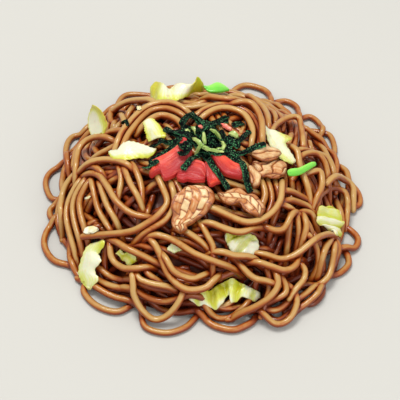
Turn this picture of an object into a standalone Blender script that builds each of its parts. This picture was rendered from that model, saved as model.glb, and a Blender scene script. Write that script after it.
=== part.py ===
"""A heap of fried noodles with cabbage, pork, red ginger, spring onion and nori, lying on a flat surface.

The noodle heap is one solid: a low dome, loops of noodle that swing out over its rim, and the strands
that lie on top of it. Each topping is a solid of its own, let down onto what is already on the heap.
The frame: +Z up, the origin in the middle of the heap's flat underside, -Y towards the eater.
"""

import math
from typing import NamedTuple

import bmesh
import bpy
from mathutils import Vector, noise
from mathutils.bvhtree import BVHTree

MM = 0.001

# Driving dimensions.
NOODLE_RADIUS = 1.95 * MM  # a thick cooked noodle, 3.9 mm across
DOME_RADIUS = 88 * MM  # the body of the heap, without the loops at its rim
DOME_HEIGHT = 55 * MM
DOME_SHOULDER = 2.2  # a higher power makes the top flatter
DOME_SLOPE = 0.85  # a lower power makes the sides steeper
RIM_WOBBLE = 1.6 * MM  # how uneven the dome's outline is
LUMP_HEIGHT = 1.5 * MM  # how uneven its top is
LUMP_SIZE = 17 * MM
GAP = 0.4 * MM  # between a topping and what it lies on
WELD = 0.01 * MM

# How finely the round shapes are cut.
DOME_BEARINGS = 48
DOME_RINGS = 18
LOOP_STEPS = 10
STRAND_STEP = 10 * MM

# Loops of noodle that swing out over the rim: the bearing of the loop's middle and half its spread, in
# degrees, how far out it reaches, and how high it is lifted by what lies under it, both in millimetres.
LOOP_FOOT = 74 * MM  # how far from the middle both ends of a loop are buried
LOOP_CLIMB = 9 * MM  # how much higher the buried ends are than the loop's outer turn
LOOP_BULGE = 0.25  # how much wider a loop is on its way out than at its foot
LOOP_ROUNDNESS = 0.8  # a lower power makes a loop's outer turn squarer
RIM_LOOPS = (
    (1, 9, 98, 3),
    (14, 8, 94, 0),
    (30, 10, 99, 0),
    (42, 8, 98, 4),
    (54, 9, 98, 0),
    (68, 11, 101, 2),
    (80, 7, 94, 0),
    (93, 12, 93, 3),
    (107, 7, 95, 0),
    (119, 10, 100, 0),
    (132, 8, 95, 4),
    (151, 12, 96, 3),
    (171, 11, 97, 0),
    (187, 9, 93, 4),
    (203, 12, 99, 0),
    (219, 7, 93, 3),
    (234, 12, 99, 0),
    (257, 12, 100, 0),
    (280, 12, 98, 0),
    (299, 9, 100, 0),
    (310, 8, 99, 4),
    (327, 9, 98, 0),
    (340, 8, 99, 2),
)

# The strands that lie on top: the points that each passes through, in millimetres from the middle.
TOP_STRANDS = (
    ((-46, -2), (-38, 15), (-27, 28), (-14, 27)),
    ((-69, 0), (-66, 15), (-52, 22)),
    ((-80, -22), (-79, -8), (-66, -2), (-56, -12)),
    ((-61, -8), (-52, -21), (-42, -40), (-24, -46)),
    ((-67, -44), (-48, -50), (-27, -49), (-17, -37), (-20, -24)),
    ((-48, -47), (-47, -60), (-38, -68), (-25, -65)),
    ((-28, -54), (-10, -61), (4, -72)),
    ((-24, -60), (-17, -74), (-5, -82), (8, -76)),
    ((6, -48), (24, -53), (41, -46), (46, -28)),
    ((30, -63), (45, -66), (62, -52), (72, -38)),
    ((50, -28), (62, -26), (70, -14), (82, -10)),
    ((56, 2), (70, 12), (80, 4)),
    ((40, 14), (50, 32), (62, 26), (62, 10)),
    ((2, 20), (18, 27), (31, 16), (32, -2)),
    ((-6, 34), (16, 38), (34, 30), (44, 16)),
    ((30, 56), (10, 66), (-14, 62), (-30, 48)),
    ((-52, 48), (-34, 64), (-10, 74)),
    ((48, 54), (60, 44), (72, 34)),
)
STRAND_SINK = 0.35  # the share of its radius by which a strand lies sunk into the dome


class Piece(NamedTuple):
    """A topping: its spine over the plan, and its half widths to the left and the right of the spine at
    equally spaced places along it, all in millimetres."""

    name: str
    spine: tuple
    left: tuple
    right: tuple


# Torn pieces of cabbage, each with how deep its waves are, how high its edges curl, and how much its last
# end and its left edge stand up from the heap, in millimetres.
CABBAGE = (
    (
        Piece("cabbage_back", ((-31, 42), (-14, 44), (4, 47)), (5, 9, 6, 8, 3), (6, 8, 5, 4, 2)),
        {"wave": 1.6, "curl": 2.0, "rise": 2, "tilt": 14},
    ),
    (
        Piece("cabbage_back_left", ((-60, 15), (-62, 24), (-63, 31)), (3, 5, 5, 3, 0.5), (2, 5, 5, 3, 0.5)),
        {"wave": 0.5, "curl": 2.0, "rise": 21, "tilt": 0},
    ),
    (
        Piece("cabbage_by_nori", ((-31, 15), (-27, 8), (-21, 0)), (2, 4, 4, 3), (2, 4, 5, 4)),
        {"wave": 1.0, "curl": 1.0, "rise": 0, "tilt": 0},
    ),
    (
        Piece("cabbage_left", ((-53, -6), (-40, -5), (-23, -11)), (1, 4, 5, 3, 0.5), (2, 5, 5, 4, 1)),
        {"wave": 0.8, "curl": 2.0, "rise": 0, "tilt": 2},
    ),
    (
        Piece(
            "cabbage_front_left",
            ((-58, -46), (-59, -57), (-61, -70)),
            (4, 4, 6, 3, 4, 0.5),
            (3, 5, 6, 7, 5, 0.5),
        ),
        {"wave": 1.2, "curl": 1.0, "rise": 0, "tilt": 0},
    ),
    (
        Piece("cabbage_tucked", ((-46, -60), (-40, -62), (-36, -67)), (2, 3, 3, 2), (1, 3, 3, 2)),
        {"wave": 0.8, "curl": 0.5, "rise": 0, "tilt": 0},
    ),
    (
        Piece("cabbage_chip", ((-18, -65), (-13, -64), (-8, -65)), (0.5, 2.5, 2.5, 0.5), (0.5, 2, 2, 0.5)),
        {"wave": 0.4, "curl": 0.5, "rise": 0, "tilt": 0},
    ),
    (
        Piece(
            "cabbage_front",
            ((-8, -85), (13, -81), (35, -80)),
            (0.5, 5, 6, 7, 6, 4, 1),
            (0.5, 4, 6, 1, 6, 4, 1),
        ),
        {"wave": 1.6, "curl": 1.0, "rise": 0, "tilt": 0},
    ),
    (
        Piece("cabbage_front_right", ((22, -54), (24, -59), (28, -66)), (9, 9, 5, 1), (8, 8, 5, 1)),
        {"wave": 1.2, "curl": 1.5, "rise": 0, "tilt": 0},
    ),
    (
        Piece("cabbage_right", ((76, -20), (77, -30), (78, -40)), (2, 6, 7, 4, 1), (3, 9, 9, 4, 1)),
        {"wave": 1.4, "curl": 1.5, "rise": 0, "tilt": 0},
    ),
    (
        Piece("cabbage_back_right", ((37, 10), (45, 5), (54, -8)), (3, 6, 6, 4, 1), (2, 4, 4, 3, 1)),
        {"wave": 1.2, "curl": 2.0, "rise": 0, "tilt": 3},
    ),
)
LEAF_THICKNESS = 1.3 * MM
LEAF_SIDE_CELLS = 4
LEAF_CELL = 4 * MM  # the length of a leaf's cells along its spine

# Cut pieces of spring onion, each with how much its left edge stands up.
SPRING_ONION = (
    (Piece("spring_onion_back", ((2, 45), (9, 46), (18, 44)), (2, 4, 3.5, 1), (2, 3.5, 3.5, 1)), 5),
    (Piece("spring_onion_right", ((48, -17), (57, -12), (66, -7)), (2, 2.3, 2.3, 1.5), (2, 2.3, 2, 1.5)), 0),
)
ONION_THICKNESS = 1.4 * MM
ONION_GUTTER = 1.1 * MM  # how far its edges bend down
ONION_CELLS = (4, 3)

# Slices of fried pork, each with its thickness in millimetres.
PORK = (
    (
        Piece("pork_front_left", ((-13, -60), (-5, -48), (6, -38)), (6, 10, 11, 10, 9), (5, 8, 12, 12, 8)),
        5.5,
    ),
    (Piece("pork_front_right", ((10, -40), (22, -38), (35, -49)), (4, 5, 6, 6, 6), (5, 5, 5, 6, 6)), 5.5),
    (Piece("pork_right_under", ((32, -18), (41, -17), (50, -16)), (6, 7, 7, 6), (6, 8, 9, 6)), 5.0),
    (Piece("pork_right_top", ((29, -12), (37, -9), (46, -6)), (3, 4, 5, 4), (3, 5, 4, 3)), 4.0),
    (Piece("pork_middle", ((27, -18), (30, -25), (33, -32)), (4, 4.5, 4), (2.5, 3, 3.5)), 4.5),
)
PORK_CELLS = (10, 6)
PORK_KNOBS = 0.3  # how knobbly a slice is, as a share of its thickness

# Cuts of red ginger, each with its thickness in millimetres.
GINGER = (
    (Piece("ginger_left", ((-25, -27), (-16, -18), (-8, -8)), (3, 8, 8, 6, 2), (3, 6, 7, 6, 3)), 4.5),
    (Piece("ginger_middle", ((-2, -20), (-3, -26), (-6, -31)), (2.5, 3.5, 6), (2.5, 4, 7)), 4.0),
    (Piece("ginger_wedge", ((4, -20), (6, -27), (8, -33)), (1.5, 2.5, 3.5), (1, 2.5, 3)), 3.5),
    (Piece("ginger_right", ((8, -15), (14, -21), (20, -26)), (3, 4, 4, 4), (2, 3.5, 4, 4)), 4.5),
)
GINGER_ARCH = 1.5 * MM
GINGER_TOP = 0.8  # the width of a cut's top, as a share of its foot's

# The tuft of shredded nori: its mound, and the shreds that stick out of it, each as the bearing and the
# distance of its tip from the tuft's middle, in degrees and millimetres.
NORI_MIDDLE = (5, 4)
NORI_MOUND = Vector((17, 14, 8)) * MM
NORI_WIDTH = 3.6 * MM
NORI_THICKNESS = 1.4 * MM
NORI_SHREDS = (
    (2, 32),
    (24, 25),
    (60, 23),
    (118, 23),
    (166, 26),
    (191, 36),
    (212, 38),
    (243, 33),
    (284, 38),
    (304, 43),
)
NORI_LIFT = 6.5 * MM  # the height of the shreds' inner ends over the dome
NORI_WAVE = 1.2 * MM
NORI_CELLS = (10, 6)

# Colours in linear light, with roughness.
NOODLE_BROWN = ((0.42, 0.19, 0.06), 0.35)
CABBAGE_GREEN = ((0.66, 0.72, 0.26), 0.45)
ONION_GREEN = ((0.22, 0.62, 0.12), 0.4)
PORK_BROWN = ((0.56, 0.29, 0.15), 0.5)
GINGER_RED = ((0.72, 0.06, 0.04), 0.35)
NORI_BLACK_GREEN = ((0.010, 0.035, 0.020), 0.4)


def clear_scene():
    for obj in list(bpy.data.objects):
        bpy.data.objects.remove(obj)


def new_collection(name, for_render=True):
    collection = bpy.data.collections.new(name)
    collection.hide_render = not for_render
    bpy.context.scene.collection.children.link(collection)
    return collection


def material(name, colour_and_roughness):
    colour, roughness = colour_and_roughness
    made = bpy.data.materials.new(name)
    made.use_nodes = True
    shader = made.node_tree.nodes["Principled BSDF"]
    shader.inputs["Base Color"].default_value = (*colour, 1)
    shader.inputs["Roughness"].default_value = roughness
    shader.inputs["Metallic"].default_value = 0
    return made


def add_object(name, data, collection, finish=None):
    obj = bpy.data.objects.new(name, data)
    collection.objects.link(obj)
    if finish:
        data.materials.append(finish)
    return obj


def object_from_bmesh(name, bm, collection, finish=None):
    mesh = bpy.data.meshes.new(name)
    bm.to_mesh(mesh)
    bm.free()
    mesh.shade_smooth()
    return add_object(name, mesh, collection, finish)


def evaluated_copy(obj):
    """The object's mesh as its modifiers leave it, as a new mesh."""
    graph = bpy.context.evaluated_depsgraph_get()
    return bpy.data.meshes.new_from_object(obj.evaluated_get(graph))


def joined_with(obj, helpers):
    """Joins every object of the helpers' collection to the object, and removes the collection."""
    join = obj.modifiers.new("join", "BOOLEAN")
    join.operation = "UNION"
    join.solver = "EXACT"
    join.operand_type = "COLLECTION"
    join.collection = helpers
    bpy.context.view_layer.update()
    joined = evaluated_copy(obj)
    obj.modifiers.clear()
    obj.data = joined
    for helper in list(helpers.objects):
        bpy.data.objects.remove(helper)
    bpy.data.collections.remove(helpers)
    return obj


def dome_height(x, y):
    """The dome's smooth height over a point of the plan, before its lumps."""
    share = min(1.0, math.hypot(x, y) / DOME_RADIUS)
    return DOME_HEIGHT * (1 - share**DOME_SHOULDER) ** DOME_SLOPE


def lumps(x, y):
    """Height of the heap's lumps over the plan. They fade out towards the rim."""
    share = min(1.0, math.hypot(x, y) / DOME_RADIUS)
    swell = noise.noise(Vector((x, y, 0)) / LUMP_SIZE)
    return LUMP_HEIGHT * swell * (1 - share**4)


def top_height(x, y):
    return dome_height(x, y) + lumps(x, y)


def rim_radius(bearing):
    """The dome's outline: a circle with a few slow waves."""
    waves = 0.6 * math.sin(3 * bearing + 0.7) + 0.4 * math.sin(7 * bearing + 2.0)
    return DOME_RADIUS + RIM_WOBBLE * waves


def make_dome(collection):
    """Half a unit sphere, whose plan becomes the outline and whose height becomes the dome's."""
    bm = bmesh.new()
    bmesh.ops.create_uvsphere(bm, u_segments=DOME_BEARINGS, v_segments=DOME_RINGS, radius=1.0)
    everything = bm.verts[:] + bm.edges[:] + bm.faces[:]
    down = (0, 0, -1)
    cut = bmesh.ops.bisect_plane(bm, geom=everything, plane_co=(0, 0, 0), plane_no=down, clear_outer=True)
    rim = [part for part in cut["geom_cut"] if isinstance(part, bmesh.types.BMEdge)]
    for vertex in bm.verts:
        share = min(1.0, math.hypot(vertex.co.x, vertex.co.y))
        on_floor = vertex.co.z < 1e-5
        bearing = math.atan2(vertex.co.y, vertex.co.x)
        reach = share * rim_radius(bearing)
        x = reach * math.cos(bearing)
        y = reach * math.sin(bearing)
        height = DOME_HEIGHT * (1 - share**DOME_SHOULDER) ** DOME_SLOPE
        vertex.co = (x, y, 0 if on_floor else height + lumps(x, y))
    bmesh.ops.holes_fill(bm, edges=rim, sides=0)
    bmesh.ops.recalc_face_normals(bm, faces=bm.faces[:])
    return object_from_bmesh("dome", bm, collection)


def catmull_rom(points, share):
    """A point at this share of the way along the smooth curve through the given points."""
    spans = len(points) - 1
    place = min(share * spans, spans - 1e-9)
    i = int(place)
    t = place - i
    p1 = points[i]
    p2 = points[i + 1]
    p0 = points[i - 1] if i > 0 else p1 * 2 - p2
    p3 = points[i + 2] if i + 2 <= spans else p2 * 2 - p1
    linear = (p2 - p0) * t
    square = (p0 * 2 - p1 * 5 + p2 * 4 - p3) * t**2
    cubic = (p1 * 3 - p0 - p2 * 3 + p3) * t**3
    return p1 + (linear + square + cubic) / 2


def make_noodle(name, points, collection):
    """One noodle along the points: a curve with a round bevel, made a mesh with its caps welded."""
    curve = bpy.data.curves.new(name, "CURVE")
    curve.dimensions = "3D"
    curve.bevel_depth = NOODLE_RADIUS
    curve.bevel_resolution = 1
    curve.use_fill_caps = True
    spline = curve.splines.new("POLY")
    spline.points.add(len(points) - 1)
    for place, point in zip(spline.points, points):
        place.co = (*point, 1)
    guide = add_object(name + "_guide", curve, collection)
    bpy.context.view_layer.update()
    mesh = evaluated_copy(guide)
    bpy.data.objects.remove(guide)
    bm = bmesh.new()
    bm.from_mesh(mesh)
    bmesh.ops.remove_doubles(bm, verts=bm.verts[:], dist=WELD)
    bmesh.ops.recalc_face_normals(bm, faces=bm.faces[:])
    return object_from_bmesh(name, bm, collection)


def rim_loop_points(bearing, spread, reach, lift):
    """A loop's route: out from under the dome, round its outer turn near the floor, and back in."""
    points = []
    for step in range(LOOP_STEPS + 1):
        turn = math.pi * step / LOOP_STEPS
        angle = math.radians(bearing - spread * math.cos(turn) * (1 + LOOP_BULGE * math.sin(turn)))
        outermost = reach * MM - NOODLE_RADIUS
        outward = LOOP_FOOT + (outermost - LOOP_FOOT) * math.sin(turn) ** LOOP_ROUNDNESS
        height = NOODLE_RADIUS + lift * MM + LOOP_CLIMB * (1 - math.sin(turn))
        points.append(Vector((outward * math.cos(angle), outward * math.sin(angle), height)))
    return points


def top_strand_points(plan):
    """A strand's route over the dome: its plan curve, with the height of the dome under each point."""
    knots = [Vector(point) * MM for point in plan]
    length = sum((b - a).length for a, b in zip(knots, knots[1:]))
    steps = max(4, round(length / STRAND_STEP))
    points = []
    for step in range(steps + 1):
        x, y = catmull_rom(knots, step / steps)
        height = top_height(x, y) + NOODLE_RADIUS * (1 - STRAND_SINK)
        points.append(Vector((x, y, max(NOODLE_RADIUS, height))))
    return points


def make_heap(parts, cutters, finish):
    """The dome with every loop and strand joined to it, as one solid."""
    strands = bpy.data.collections.new("noodle_strands")
    cutters.children.link(strands)
    for number, loop in enumerate(RIM_LOOPS):
        make_noodle(f"rim_loop_{number}", rim_loop_points(*loop), strands)
    for number, plan in enumerate(TOP_STRANDS):
        make_noodle(f"top_strand_{number}", top_strand_points(plan), strands)
    heap = make_dome(parts)
    heap.name = "noodle_heap"
    heap.data.materials.append(finish)
    return joined_with(heap, strands)


def along_list(values, share):
    """The value at this share of the way along equally spaced values."""
    place = min(share * (len(values) - 1), len(values) - 1 - 1e-9)
    i = int(place)
    return values[i] + (values[i + 1] - values[i]) * (place - i)


def piece_point(piece, u, v, height):
    """A point of a topping that follows the dome. u runs along its spine and v across, from -1 to 1."""
    knots = [Vector(point) * MM for point in piece.spine]
    share = (u + 1) / 2
    before = catmull_rom(knots, max(0, share - 0.01))
    after = catmull_rom(knots, min(1, share + 0.01))
    lengthwise = (after - before).normalized()
    half_width = along_list(piece.left if v > 0 else piece.right, share) * MM
    plan = catmull_rom(knots, share) + Vector((-lengthwise.y, lengthwise.x)) * v * half_width
    return Vector((*plan, dome_height(*plan) + height))


def spine_length(spine):
    return sum((Vector(b) - Vector(a)).length for a, b in zip(spine, spine[1:])) * MM


def make_sheet(name, cells, place, thickness, collection, finish):
    """A bent sheet: Blender's grid, with place(u, v) giving each point for u and v from -1 to 1."""
    bm = bmesh.new()
    bmesh.ops.create_grid(bm, x_segments=cells[0], y_segments=cells[1], size=1.0)
    for vertex in bm.verts:
        vertex.co = place(vertex.co.x, vertex.co.y)
    sheet = object_from_bmesh(name, bm, collection, finish)
    solidify = sheet.modifiers.new("thickness", "SOLIDIFY")
    solidify.thickness = thickness
    solidify.offset = 0
    bpy.context.view_layer.update()
    mesh = evaluated_copy(sheet)
    sheet.modifiers.clear()
    sheet.data = mesh
    return sheet


def make_leaf(leaf, wave, curl, rise, tilt, collection, finish):
    """A torn piece of cabbage: a wavy sheet with an uneven outline and curled edges."""
    phase = 3 * noise.noise(Vector(leaf.spine[0]).to_3d() / 9)

    def place(u, v):
        ripple = wave * math.sin(4.5 * u + 1.6 * v + phase) * (0.4 + 0.6 * abs(v))
        edge = curl * (0.6 * v * v + 0.4 * u * u)
        stand = rise * (u + 1) / 2 + tilt * (v + 1) / 2
        return piece_point(leaf, u, v, (ripple + edge + stand) * MM)

    cells = (max(4, round(spine_length(leaf.spine) / LEAF_CELL)), LEAF_SIDE_CELLS)
    return make_sheet(leaf.name, cells, place, LEAF_THICKNESS, collection, finish)


def make_onion(onion, tilt, collection, finish):
    """A cut piece of spring onion: a strip of the hollow leaf, bent across like a gutter."""

    def place(u, v):
        return piece_point(onion, u, v, tilt * MM * (v + 1) / 2 - ONION_GUTTER * v * v)

    return make_sheet(onion.name, ONION_CELLS, place, ONION_THICKNESS, collection, finish)


def make_lump(name, cells, place, collection, finish):
    """A closed lump: a unit sphere with each of its points moved to place(point)."""
    bm = bmesh.new()
    bmesh.ops.create_uvsphere(bm, u_segments=cells[0], v_segments=cells[1], radius=1.0)
    for vertex in bm.verts:
        vertex.co = place(vertex.co.copy())
    bmesh.ops.recalc_face_normals(bm, faces=bm.faces[:])
    return object_from_bmesh(name, bm, collection, finish)


def make_pork(slice_of_pork, thickness, collection, finish):
    """A small slice of fried pork: a flat, knobbly lens that follows its spine."""
    seed = Vector(slice_of_pork.spine[0]).to_3d() / 5

    def place(point):
        knob = 1 + PORK_KNOBS * noise.noise(seed + point * 1.7)
        flat = abs(point.z) ** 0.7 * math.copysign(1, point.z)
        return piece_point(slice_of_pork, point.x, point.y * knob, flat * thickness / 2 * knob * MM)

    return make_lump(slice_of_pork.name, PORK_CELLS, place, collection, finish)


def make_bar(name, cuts, place, collection, finish=None):
    """A bar from Blender's cube, cut across, with each point moved to place(u, v, w)."""
    bm = bmesh.new()
    bmesh.ops.create_cube(bm, size=2.0)
    for axis, count in enumerate(cuts):
        edges = [edge for edge in bm.edges if abs(edge.verts[0].co[axis] - edge.verts[1].co[axis]) > 1]
        if count:
            bmesh.ops.subdivide_edges(bm, edges=edges, cuts=count, use_grid_fill=True)
    for vertex in bm.verts:
        vertex.co = place(*vertex.co)
    return object_from_bmesh(name, bm, collection, finish)


def make_ginger(cut, thickness, collection, finish):
    """A thick cut of red ginger: an arched slab whose top is narrower than its foot."""

    def place(u, v, w):
        narrowed = v * GINGER_TOP if w > 0 else v
        return piece_point(cut, u, narrowed, w * thickness / 2 * MM + GINGER_ARCH * (1 - u * u))

    return make_bar(cut.name, (5, 1, 0), place, collection, finish)


def polar(bearing, distance):
    """The plan point at this bearing, in degrees, and distance from the tuft's middle."""
    angle = math.radians(bearing)
    return (NORI_MIDDLE[0] + distance * math.cos(angle), NORI_MIDDLE[1] + distance * math.sin(angle))


def make_nori_shred(name, bearing, reach, collection):
    """One shred of nori: a flat bar from inside the mound, over its shoulder and down to its tip."""
    half_widths = (NORI_WIDTH / MM / 2, NORI_WIDTH / MM / 2)
    shred = Piece(name, (NORI_MIDDLE, polar(bearing, reach)), half_widths, half_widths)

    def place(u, v, w):
        share = (u + 1) / 2
        droop = NORI_LIFT * (1 - share**3) + NORI_WAVE * math.sin(5 * share + bearing)
        return piece_point(shred, u, v, droop + w * NORI_THICKNESS / 2)

    return make_bar(name, (3, 0, 0), place, collection)


def make_nori(parts, cutters, finish):
    """The tuft of nori: a rough mound with its shreds joined to it."""
    shreds = bpy.data.collections.new("nori_shreds")
    cutters.children.link(shreds)
    for number, (bearing, reach) in enumerate(NORI_SHREDS):
        make_nori_shred(f"nori_shred_{number}", bearing, reach, shreds)

    def place(point):
        rough = 1 + 0.22 * noise.noise(point * 2.3)
        x = NORI_MIDDLE[0] * MM + point.x * NORI_MOUND.x * rough
        y = NORI_MIDDLE[1] * MM + point.y * NORI_MOUND.y * rough
        return Vector((x, y, dome_height(x, y) + NORI_MOUND.z * (0.5 + 0.5 * point.z * rough)))

    tuft = make_lump("nori_tuft", NORI_CELLS, place, parts, finish)
    return joined_with(tuft, shreds)


def tree_of(obj):
    bm = bmesh.new()
    bm.from_mesh(obj.data)
    tree = BVHTree.FromBMesh(bm)
    bm.free()
    return tree


def edge_samples(mesh):
    """The vertices, and points spread along each edge."""
    places = [vertex.co.copy() for vertex in mesh.vertices]
    for edge in mesh.edges:
        start, end = (mesh.vertices[i].co for i in edge.vertices)
        places += [start.lerp(end, share) for share in (0.25, 0.5, 0.75)]
    return places


def clearance(upper, lower):
    """The least height of one object over another, where one is above the other."""
    high = 1.0
    down = Vector((0, 0, -1))
    least = high
    lower_tree = tree_of(lower)
    upper_tree = tree_of(upper)
    for place in edge_samples(upper.data):
        hit = lower_tree.ray_cast(Vector((place.x, place.y, high)), down)[0]
        if hit:
            least = min(least, place.z - hit.z)
    for place in edge_samples(lower.data):
        hit = upper_tree.ray_cast(Vector((place.x, place.y, -high)), -down)[0]
        if hit:
            least = min(least, hit.z - place.z)
    return least


def settle(piece, placed):
    """Lets a piece down, or lifts it, until it lies GAP above the nearest thing under it."""
    drop = min(clearance(piece, other) for other in placed) - GAP
    for vertex in piece.data.vertices:
        vertex.co.z -= drop
    placed.append(piece)


def main():
    clear_scene()
    parts = new_collection("yakisoba")
    cutters = new_collection("helpers", for_render=False)
    heap = make_heap(parts, cutters, material("noodle", NOODLE_BROWN))
    placed = [heap]
    green = material("cabbage", CABBAGE_GREEN)
    for leaf, bends in CABBAGE:
        settle(make_leaf(leaf, **bends, collection=parts, finish=green), placed)
    onion_green = material("spring_onion", ONION_GREEN)
    for onion, tilt in SPRING_ONION:
        settle(make_onion(onion, tilt, parts, onion_green), placed)
    brown = material("pork", PORK_BROWN)
    for slice_of_pork, thickness in PORK:
        settle(make_pork(slice_of_pork, thickness, parts, brown), placed)
    red = material("red_ginger", GINGER_RED)
    for cut, thickness in GINGER:
        settle(make_ginger(cut, thickness, parts, red), placed)
    settle(make_nori(parts, cutters, material("nori", NORI_BLACK_GREEN)), placed)


main()
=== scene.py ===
# %% [markdown]
# # A heap of fried noodles, laid one strand at a time
#
# The dish is a low heap of thick wheat noodles, fried with a dark, sweet sauce. On it lie torn cabbage,
# slices of pork, cuts of red ginger, a little spring onion and a tuft of shredded nori.
#
# A heap like this could be simulated, but a few hundred soft strands take far too long to come to rest. It
# could also be a bumpy dome with noodles painted on it, but then nothing would pass over or under anything.
# Here every strand is let down onto what already lies below it, one after the other, the way a cook piles
# them.

# %% The frame
import bpy
import numpy as np
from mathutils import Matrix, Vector


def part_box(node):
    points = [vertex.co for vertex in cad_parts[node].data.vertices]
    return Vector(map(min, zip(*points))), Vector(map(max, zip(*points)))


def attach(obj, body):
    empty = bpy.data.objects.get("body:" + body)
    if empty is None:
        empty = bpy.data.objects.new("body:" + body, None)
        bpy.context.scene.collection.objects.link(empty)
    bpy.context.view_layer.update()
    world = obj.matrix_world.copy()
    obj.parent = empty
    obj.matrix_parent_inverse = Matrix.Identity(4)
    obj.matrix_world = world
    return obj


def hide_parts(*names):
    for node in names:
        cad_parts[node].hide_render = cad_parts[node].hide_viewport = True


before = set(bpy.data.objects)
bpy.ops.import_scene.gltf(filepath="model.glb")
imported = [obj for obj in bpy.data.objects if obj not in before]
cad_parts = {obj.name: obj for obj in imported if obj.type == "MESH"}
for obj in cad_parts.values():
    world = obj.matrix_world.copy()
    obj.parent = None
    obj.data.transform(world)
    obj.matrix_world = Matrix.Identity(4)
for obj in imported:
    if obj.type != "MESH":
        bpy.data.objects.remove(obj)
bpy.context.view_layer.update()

# %% [markdown]
# ## Lengths
#
# Noodles are a few millimetres thick, so everything is worked out in millimetres and turned into metres
# when it becomes a mesh. The heap's reach and height are the frame's. A cooked strand is 3.9 mm across.

# %% Lengths
MM = 0.001
NOODLE = 1.95  # a strand's radius


def box_mm(node):
    """The lowest and the highest corner of a CAD node, in millimetres."""
    return [np.array(corner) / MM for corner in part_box(node)]


heap_low, heap_high = box_mm("noodle_heap")
REACH = (heap_high - heap_low)[:2].mean() / 2
HEIGHT = heap_high[2]
print(f"heap: reaches {REACH:.1f} mm from the middle, {HEIGHT:.1f} mm high")

# %% [markdown]
# ## The mound
#
# The heap's top follows a smooth mound, flat in the middle and steep near the rim. Strands are added until
# they fill it.

# %% The mound
MOUND_REACH = 0.953 * REACH
MOUND_HEIGHT = 1.02 * HEIGHT


def mound(xy):
    """Height = top height * (1 - share^2.2)^0.85, where share = distance from the middle / reach."""
    share = np.clip(np.hypot(xy[..., 0], xy[..., 1]) / MOUND_REACH, 0, 1)
    return MOUND_HEIGHT * (1 - share**2.2) ** 0.85


# %% [markdown]
# ## What has been laid so far
#
# To let a strand down, one question has to be answered: how high is the pile here? A grid of small square
# cells keeps the pile's height. A ball that stands for a short piece of strand comes to rest where it
# touches the first cell under it, and when it is laid it raises the cells that it covers.

# %% The pile's height


class Pile:
    """One height for each cell of a square grid over the plan, with the origin in the middle cell."""

    def __init__(self, reach, cell):
        self.cell = cell
        self.middle = int(reach / cell)
        self.height = np.zeros((2 * self.middle + 1, 2 * self.middle + 1))

    def cells_at(self, points):
        """The column and the row of the cell at each point."""
        columns, rows = np.rint(points[:, :2] / self.cell).astype(int).T + self.middle
        return columns, rows

    def under_balls(self, xy, radius):
        """The cells under a ball at each plan point, and the height of the ball's skin over its middle there.

        At a distance d from the ball's middle its skin is sqrt(radius^2 - d^2) above or below the middle.
        """
        reach = int(radius / self.cell) + 1
        steps = np.arange(-reach, reach + 1)
        across, along = (grid.ravel() for grid in np.meshgrid(steps, steps))
        nearest = np.rint(xy / self.cell).astype(int)
        columns = nearest[:, :1] + across
        rows = nearest[:, 1:] + along
        away = np.hypot(columns * self.cell - xy[:, :1], rows * self.cell - xy[:, 1:])
        skin = np.where(away < radius, np.sqrt(np.clip(radius**2 - away**2, 0, None)), -np.inf)
        return (columns + self.middle, rows + self.middle), skin

    def rest(self, xy, radius):
        """The height at which a ball's middle comes to rest: the highest of cell height plus skin height."""
        cells, skin = self.under_balls(xy, radius)
        return (self.height[cells] + skin).max(axis=1)

    def lay(self, xyz, radius):
        """Raises each cell to the top of the balls over it."""
        cells, skin = self.under_balls(xyz[:, :2], radius)
        np.maximum.at(self.height, cells, xyz[:, 2:] + skin)

    def lay_points(self, points):
        """Raises each cell to the points over it."""
        np.maximum.at(self.height, self.cells_at(points), points[:, 2])


pile = Pile(reach=112, cell=0.4)
plan_of_cells = np.moveaxis((np.indices(pile.height.shape) - pile.middle) * pile.cell, 0, -1)
print("pile:", pile.height.shape, "cells")

# %% [markdown]
# ## Meshes from arrays
#
# Every piece is worked out as a table of points and a table of faces. One function turns them into a mesh
# whose faces point outwards and says which solid it stands for.

# %% Meshes from arrays
SHARP = np.radians(58)  # edges that turn by more than this stay sharp


def grid_faces(rows, columns, closed=False):
    """The four-sided faces of a grid of points. A closed grid joins its last column to its first."""
    index = np.arange(rows * columns).reshape(rows, columns)
    if closed:
        index = np.column_stack([index, index[:, 0]])
    corners = index[:-1, :-1], index[:-1, 1:], index[1:, 1:], index[1:, :-1]
    return np.stack(corners, axis=-1).reshape(-1, 4)


def lids(rows, columns):
    """The two faces that close a tube: its first ring turned round, and its last ring."""
    return np.array([np.arange(columns)[::-1], (rows - 1) * columns + np.arange(columns)])


def enclosed(points, faces):
    """Six times the volume inside closed faces: the sum of a . (b x c) over all triangles a, b, c."""
    total = 0
    for face in faces:
        for corner in range(1, face.shape[1] - 1):
            a, b, c = (points[face[:, k]] for k in (0, corner, corner + 1))
            total += np.einsum("ij,ij", a, np.cross(b, c))
    return total


# %% One mesh for each piece


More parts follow.
